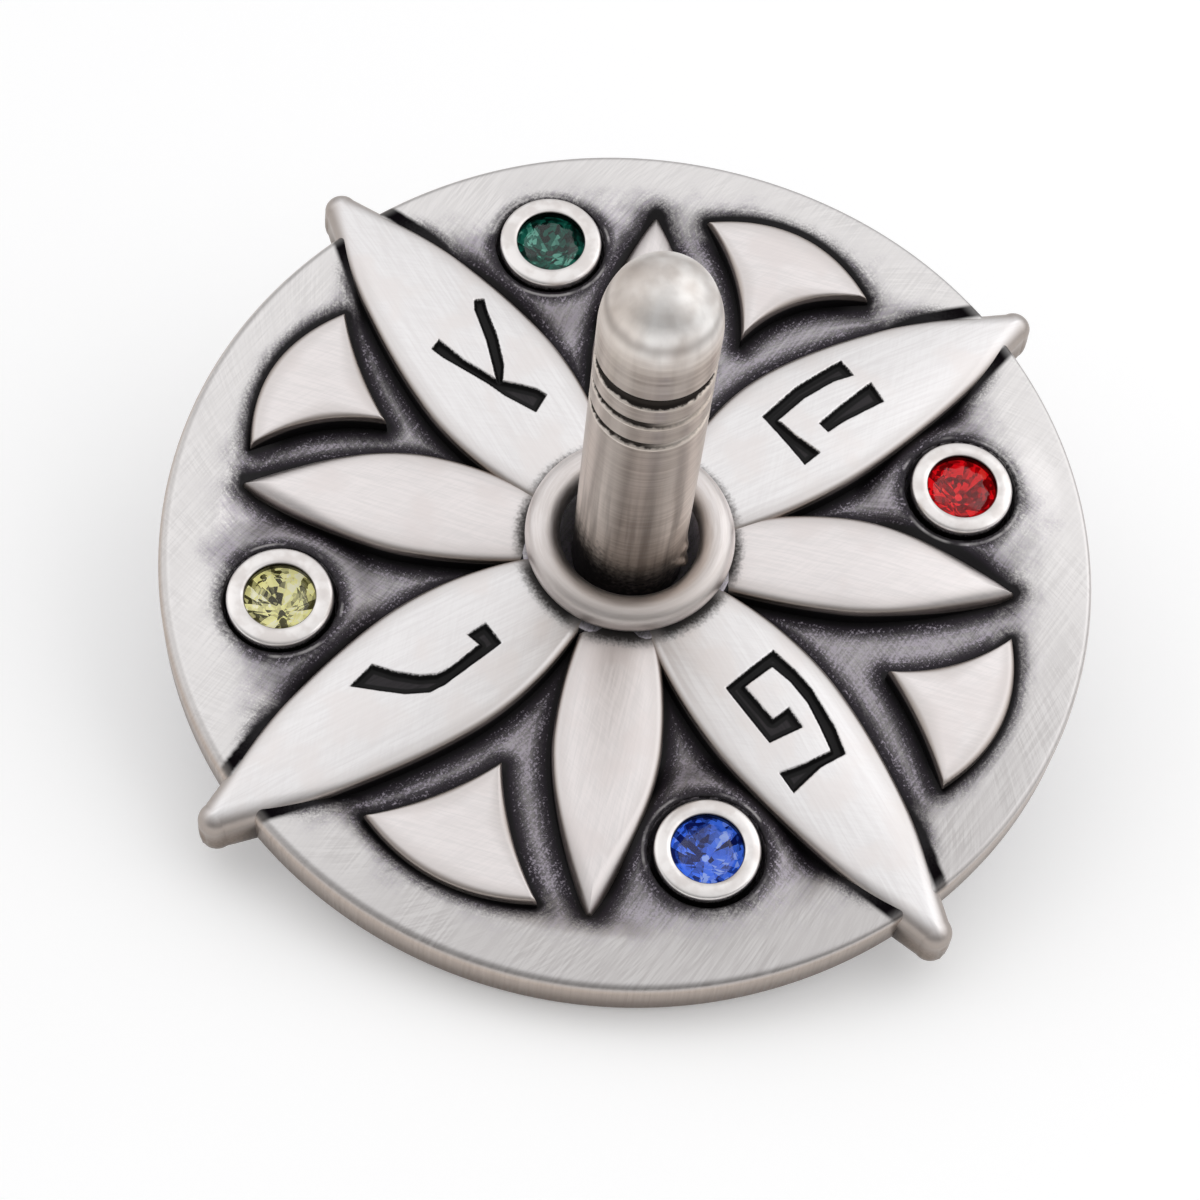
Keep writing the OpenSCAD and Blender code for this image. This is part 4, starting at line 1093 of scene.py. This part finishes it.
silver = put(tree, "ShaderNodeMix", {0: lines, 6: linear("#c8bbb0"), 7: linear("#e0d5cb")},
             data_type="RGBA")
smeared = put(tree, "ShaderNodeMapRange", {0: smear, 1: 0.42, 2: 0.68, 4: 0.5},
              interpolation_type="SMOOTHSTEP")
# The dome is pale from the neck up, partly polish and partly painted highlight, with brighter
# patches of painted highlight
bare = put(tree, "ShaderNodeMapRange", {0: height, 1: 33.4, 2: 35.8, 4: 0.9},
           interpolation_type="SMOOTHSTEP")
patches = put(tree, "ShaderNodeTexNoise", {"Vector": place, "Scale": 0.5, "Detail": 2.0})
patches = put(tree, "ShaderNodeMapRange", {0: patches, 1: 0.35, 2: 0.66},
              interpolation_type="SMOOTHSTEP")
dome_silver = put(tree, "ShaderNodeMix", {0: patches, 6: linear("#d6cfca"),
                                          7: linear("#faf8f6")}, data_type="RGBA")
# The left of the dome is painted tan, as painted shade
on_left = put(tree, "ShaderNodeVectorMath", {0: outward, 1: (-0.95, -0.3, 0.0)},
              operation="DOT_PRODUCT")
left_dome_shade = put(tree, "ShaderNodeMapRange", {0: on_left, 1: 0.35, 2: 0.95, 4: 0.6},
             interpolation_type="SMOOTHSTEP")
left_dome_shade = put(tree, "ShaderNodeMath", {0: left_dome_shade, 1: bare}, operation="MULTIPLY")
off_top = put(tree, "ShaderNodeMapRange", {0: radius, 1: 0.5, 2: 2.2},
              interpolation_type="SMOOTHSTEP")
left_dome_shade = put(tree, "ShaderNodeMath", {0: left_dome_shade, 1: off_top}, operation="MULTIPLY")
# A painted highlight runs down the shaft as a pale stripe, left of the front
highlight_stripe = put(tree, "ShaderNodeVectorMath", {0: outward, 1: (-0.6, -0.8, 0.0)},
             operation="DOT_PRODUCT")
highlight_stripe = put(tree, "ShaderNodeMapRange", {0: highlight_stripe, 1: 0.88, 2: 1.0, 4: 0.45},
             interpolation_type="SMOOTHSTEP")
highlight_stripe = put(tree, "ShaderNodeMath", {0: highlight_stripe, 1: off_top}, operation="MULTIPLY")
# A band of painted shade where the dome starts, uneven in height
band = put(tree, "ShaderNodeMath", {0: smear, 1: -0.6, 2: height}, operation="MULTIPLY_ADD")
band = put(tree, "ShaderNodeMath", {0: band, 1: 35.2}, operation="SUBTRACT")
band = put(tree, "ShaderNodeMath", {0: band}, operation="ABSOLUTE")
band = put(tree, "ShaderNodeMapRange", {0: band, 1: 0.0, 2: 0.6, 3: 0.5, 4: 0.0},
           interpolation_type="SMOOTHSTEP")
# Dark streaks of painted reflection run up the lower half of the handle
reflection_streaks = put(tree, "ShaderNodeMapping", {0: place, "Scale": (2.0, 2.0, 0.09)})
reflection_streaks = put(tree, "ShaderNodeTexNoise", {"Vector": reflection_streaks, "Scale": 1.0, "Detail": 3.0})
reflection_streaks = put(tree, "ShaderNodeMapRange", {0: reflection_streaks, 1: 0.42, 2: 0.72, 4: 0.6},
           interpolation_type="SMOOTHSTEP")
lower = put(tree, "ShaderNodeMapRange", {0: height, 1: 17.0, 2: 25.0, 3: 1.0, 4: 0.15},
            interpolation_type="SMOOTHSTEP")
reflection_streaks = put(tree, "ShaderNodeMath", {0: reflection_streaks, 1: lower}, operation="MULTIPLY")
# The front of the handle is painted duller, as painted shade
front_handle_shade = put(tree, "ShaderNodeVectorMath", {0: outward, 1: (0.2, -0.98, 0.0)},
              operation="DOT_PRODUCT")
front_handle_shade = put(tree, "ShaderNodeMapRange", {0: front_handle_shade, 1: 0.75, 2: 1.0, 4: 0.35},
              interpolation_type="SMOOTHSTEP")
front_handle_shade = put(tree, "ShaderNodeMath", {0: front_handle_shade, 1: lower}, operation="MULTIPLY")
# Soot stays at the foot, higher on the left, and in the grooves, less on their right ends
foot_edge = put(tree, "ShaderNodeMath", {0: grain, 1: 4.5, 2: height},
                operation="MULTIPLY_ADD")
on_right = put(tree, "ShaderNodeVectorMath", {0: outward, 1: (0.95, -0.3, 0.0)},
               operation="DOT_PRODUCT")
foot_edge = put(tree, "ShaderNodeMath", {0: on_right, 1: 1.6, 2: foot_edge},
                operation="MULTIPLY_ADD")
foot = put(tree, "ShaderNodeMapRange", {0: foot_edge, 1: 13.8, 2: 17.8, 3: 0.94, 4: 0.0},
           interpolation_type="SMOOTHSTEP")
groove_edge = put(tree, "ShaderNodeMath", {0: smear, 1: 0.16, 2: sunk},
                  operation="MULTIPLY_ADD")
groove_edge = put(tree, "ShaderNodeMath", {0: grain, 1: 0.25, 2: groove_edge},
                  operation="MULTIPLY_ADD")
groove = put(tree, "ShaderNodeMapRange", {0: groove_edge, 1: 0.24, 2: 0.36},
             interpolation_type="SMOOTHSTEP")
below = put(tree, "ShaderNodeMapRange", {0: sunk, 1: 0.02, 2: 0.06})
groove = put(tree, "ShaderNodeMath", {0: groove, 1: below}, operation="MULTIPLY")
handle = put(tree, "ShaderNodeMapRange", {0: height, 1: 26.2, 2: 26.5})
groove = put(tree, "ShaderNodeMath", {0: groove, 1: handle}, operation="MULTIPLY")
filled = put(tree, "ShaderNodeMapRange", {0: on_right, 1: 0.25, 2: 0.85, 3: 0.97, 4: 0.35},
             interpolation_type="SMOOTHSTEP")
top_groove = put(tree, "ShaderNodeMapRange", {0: height, 1: 30.0, 2: 30.3, 4: 0.97})
filled = put(tree, "ShaderNodeMath", {0: filled, 1: top_groove}, operation="MAXIMUM")
groove = put(tree, "ShaderNodeMath", {0: groove, 1: filled}, operation="MULTIPLY")
colour = layered(tree, silver, (
    (smeared, "#e2d8d0"), (bare, dome_silver), (left_dome_shade, "#b3a294"), (highlight_stripe, "#f0e7df"),
    (band, "#857b75"), (reflection_streaks, "#6d625b"), (front_handle_shade, "#85786f"), (foot, "#1e1815"),
    (groove, "#120d0b")))
rough = put(tree, "ShaderNodeMath", {0: lines, 1: 0.06, 2: 0.36}, operation="MULTIPLY_ADD")
rough = put(tree, "ShaderNodeMath", {0: bare, 1: 0.08, 2: rough}, operation="MULTIPLY_ADD")
plate_shader(tree, colour, 1.0, rough, turned, 0.06, 0.04)
spindle.data.materials.append(spindle_metal)
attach(spindle, "root")
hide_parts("spindle")
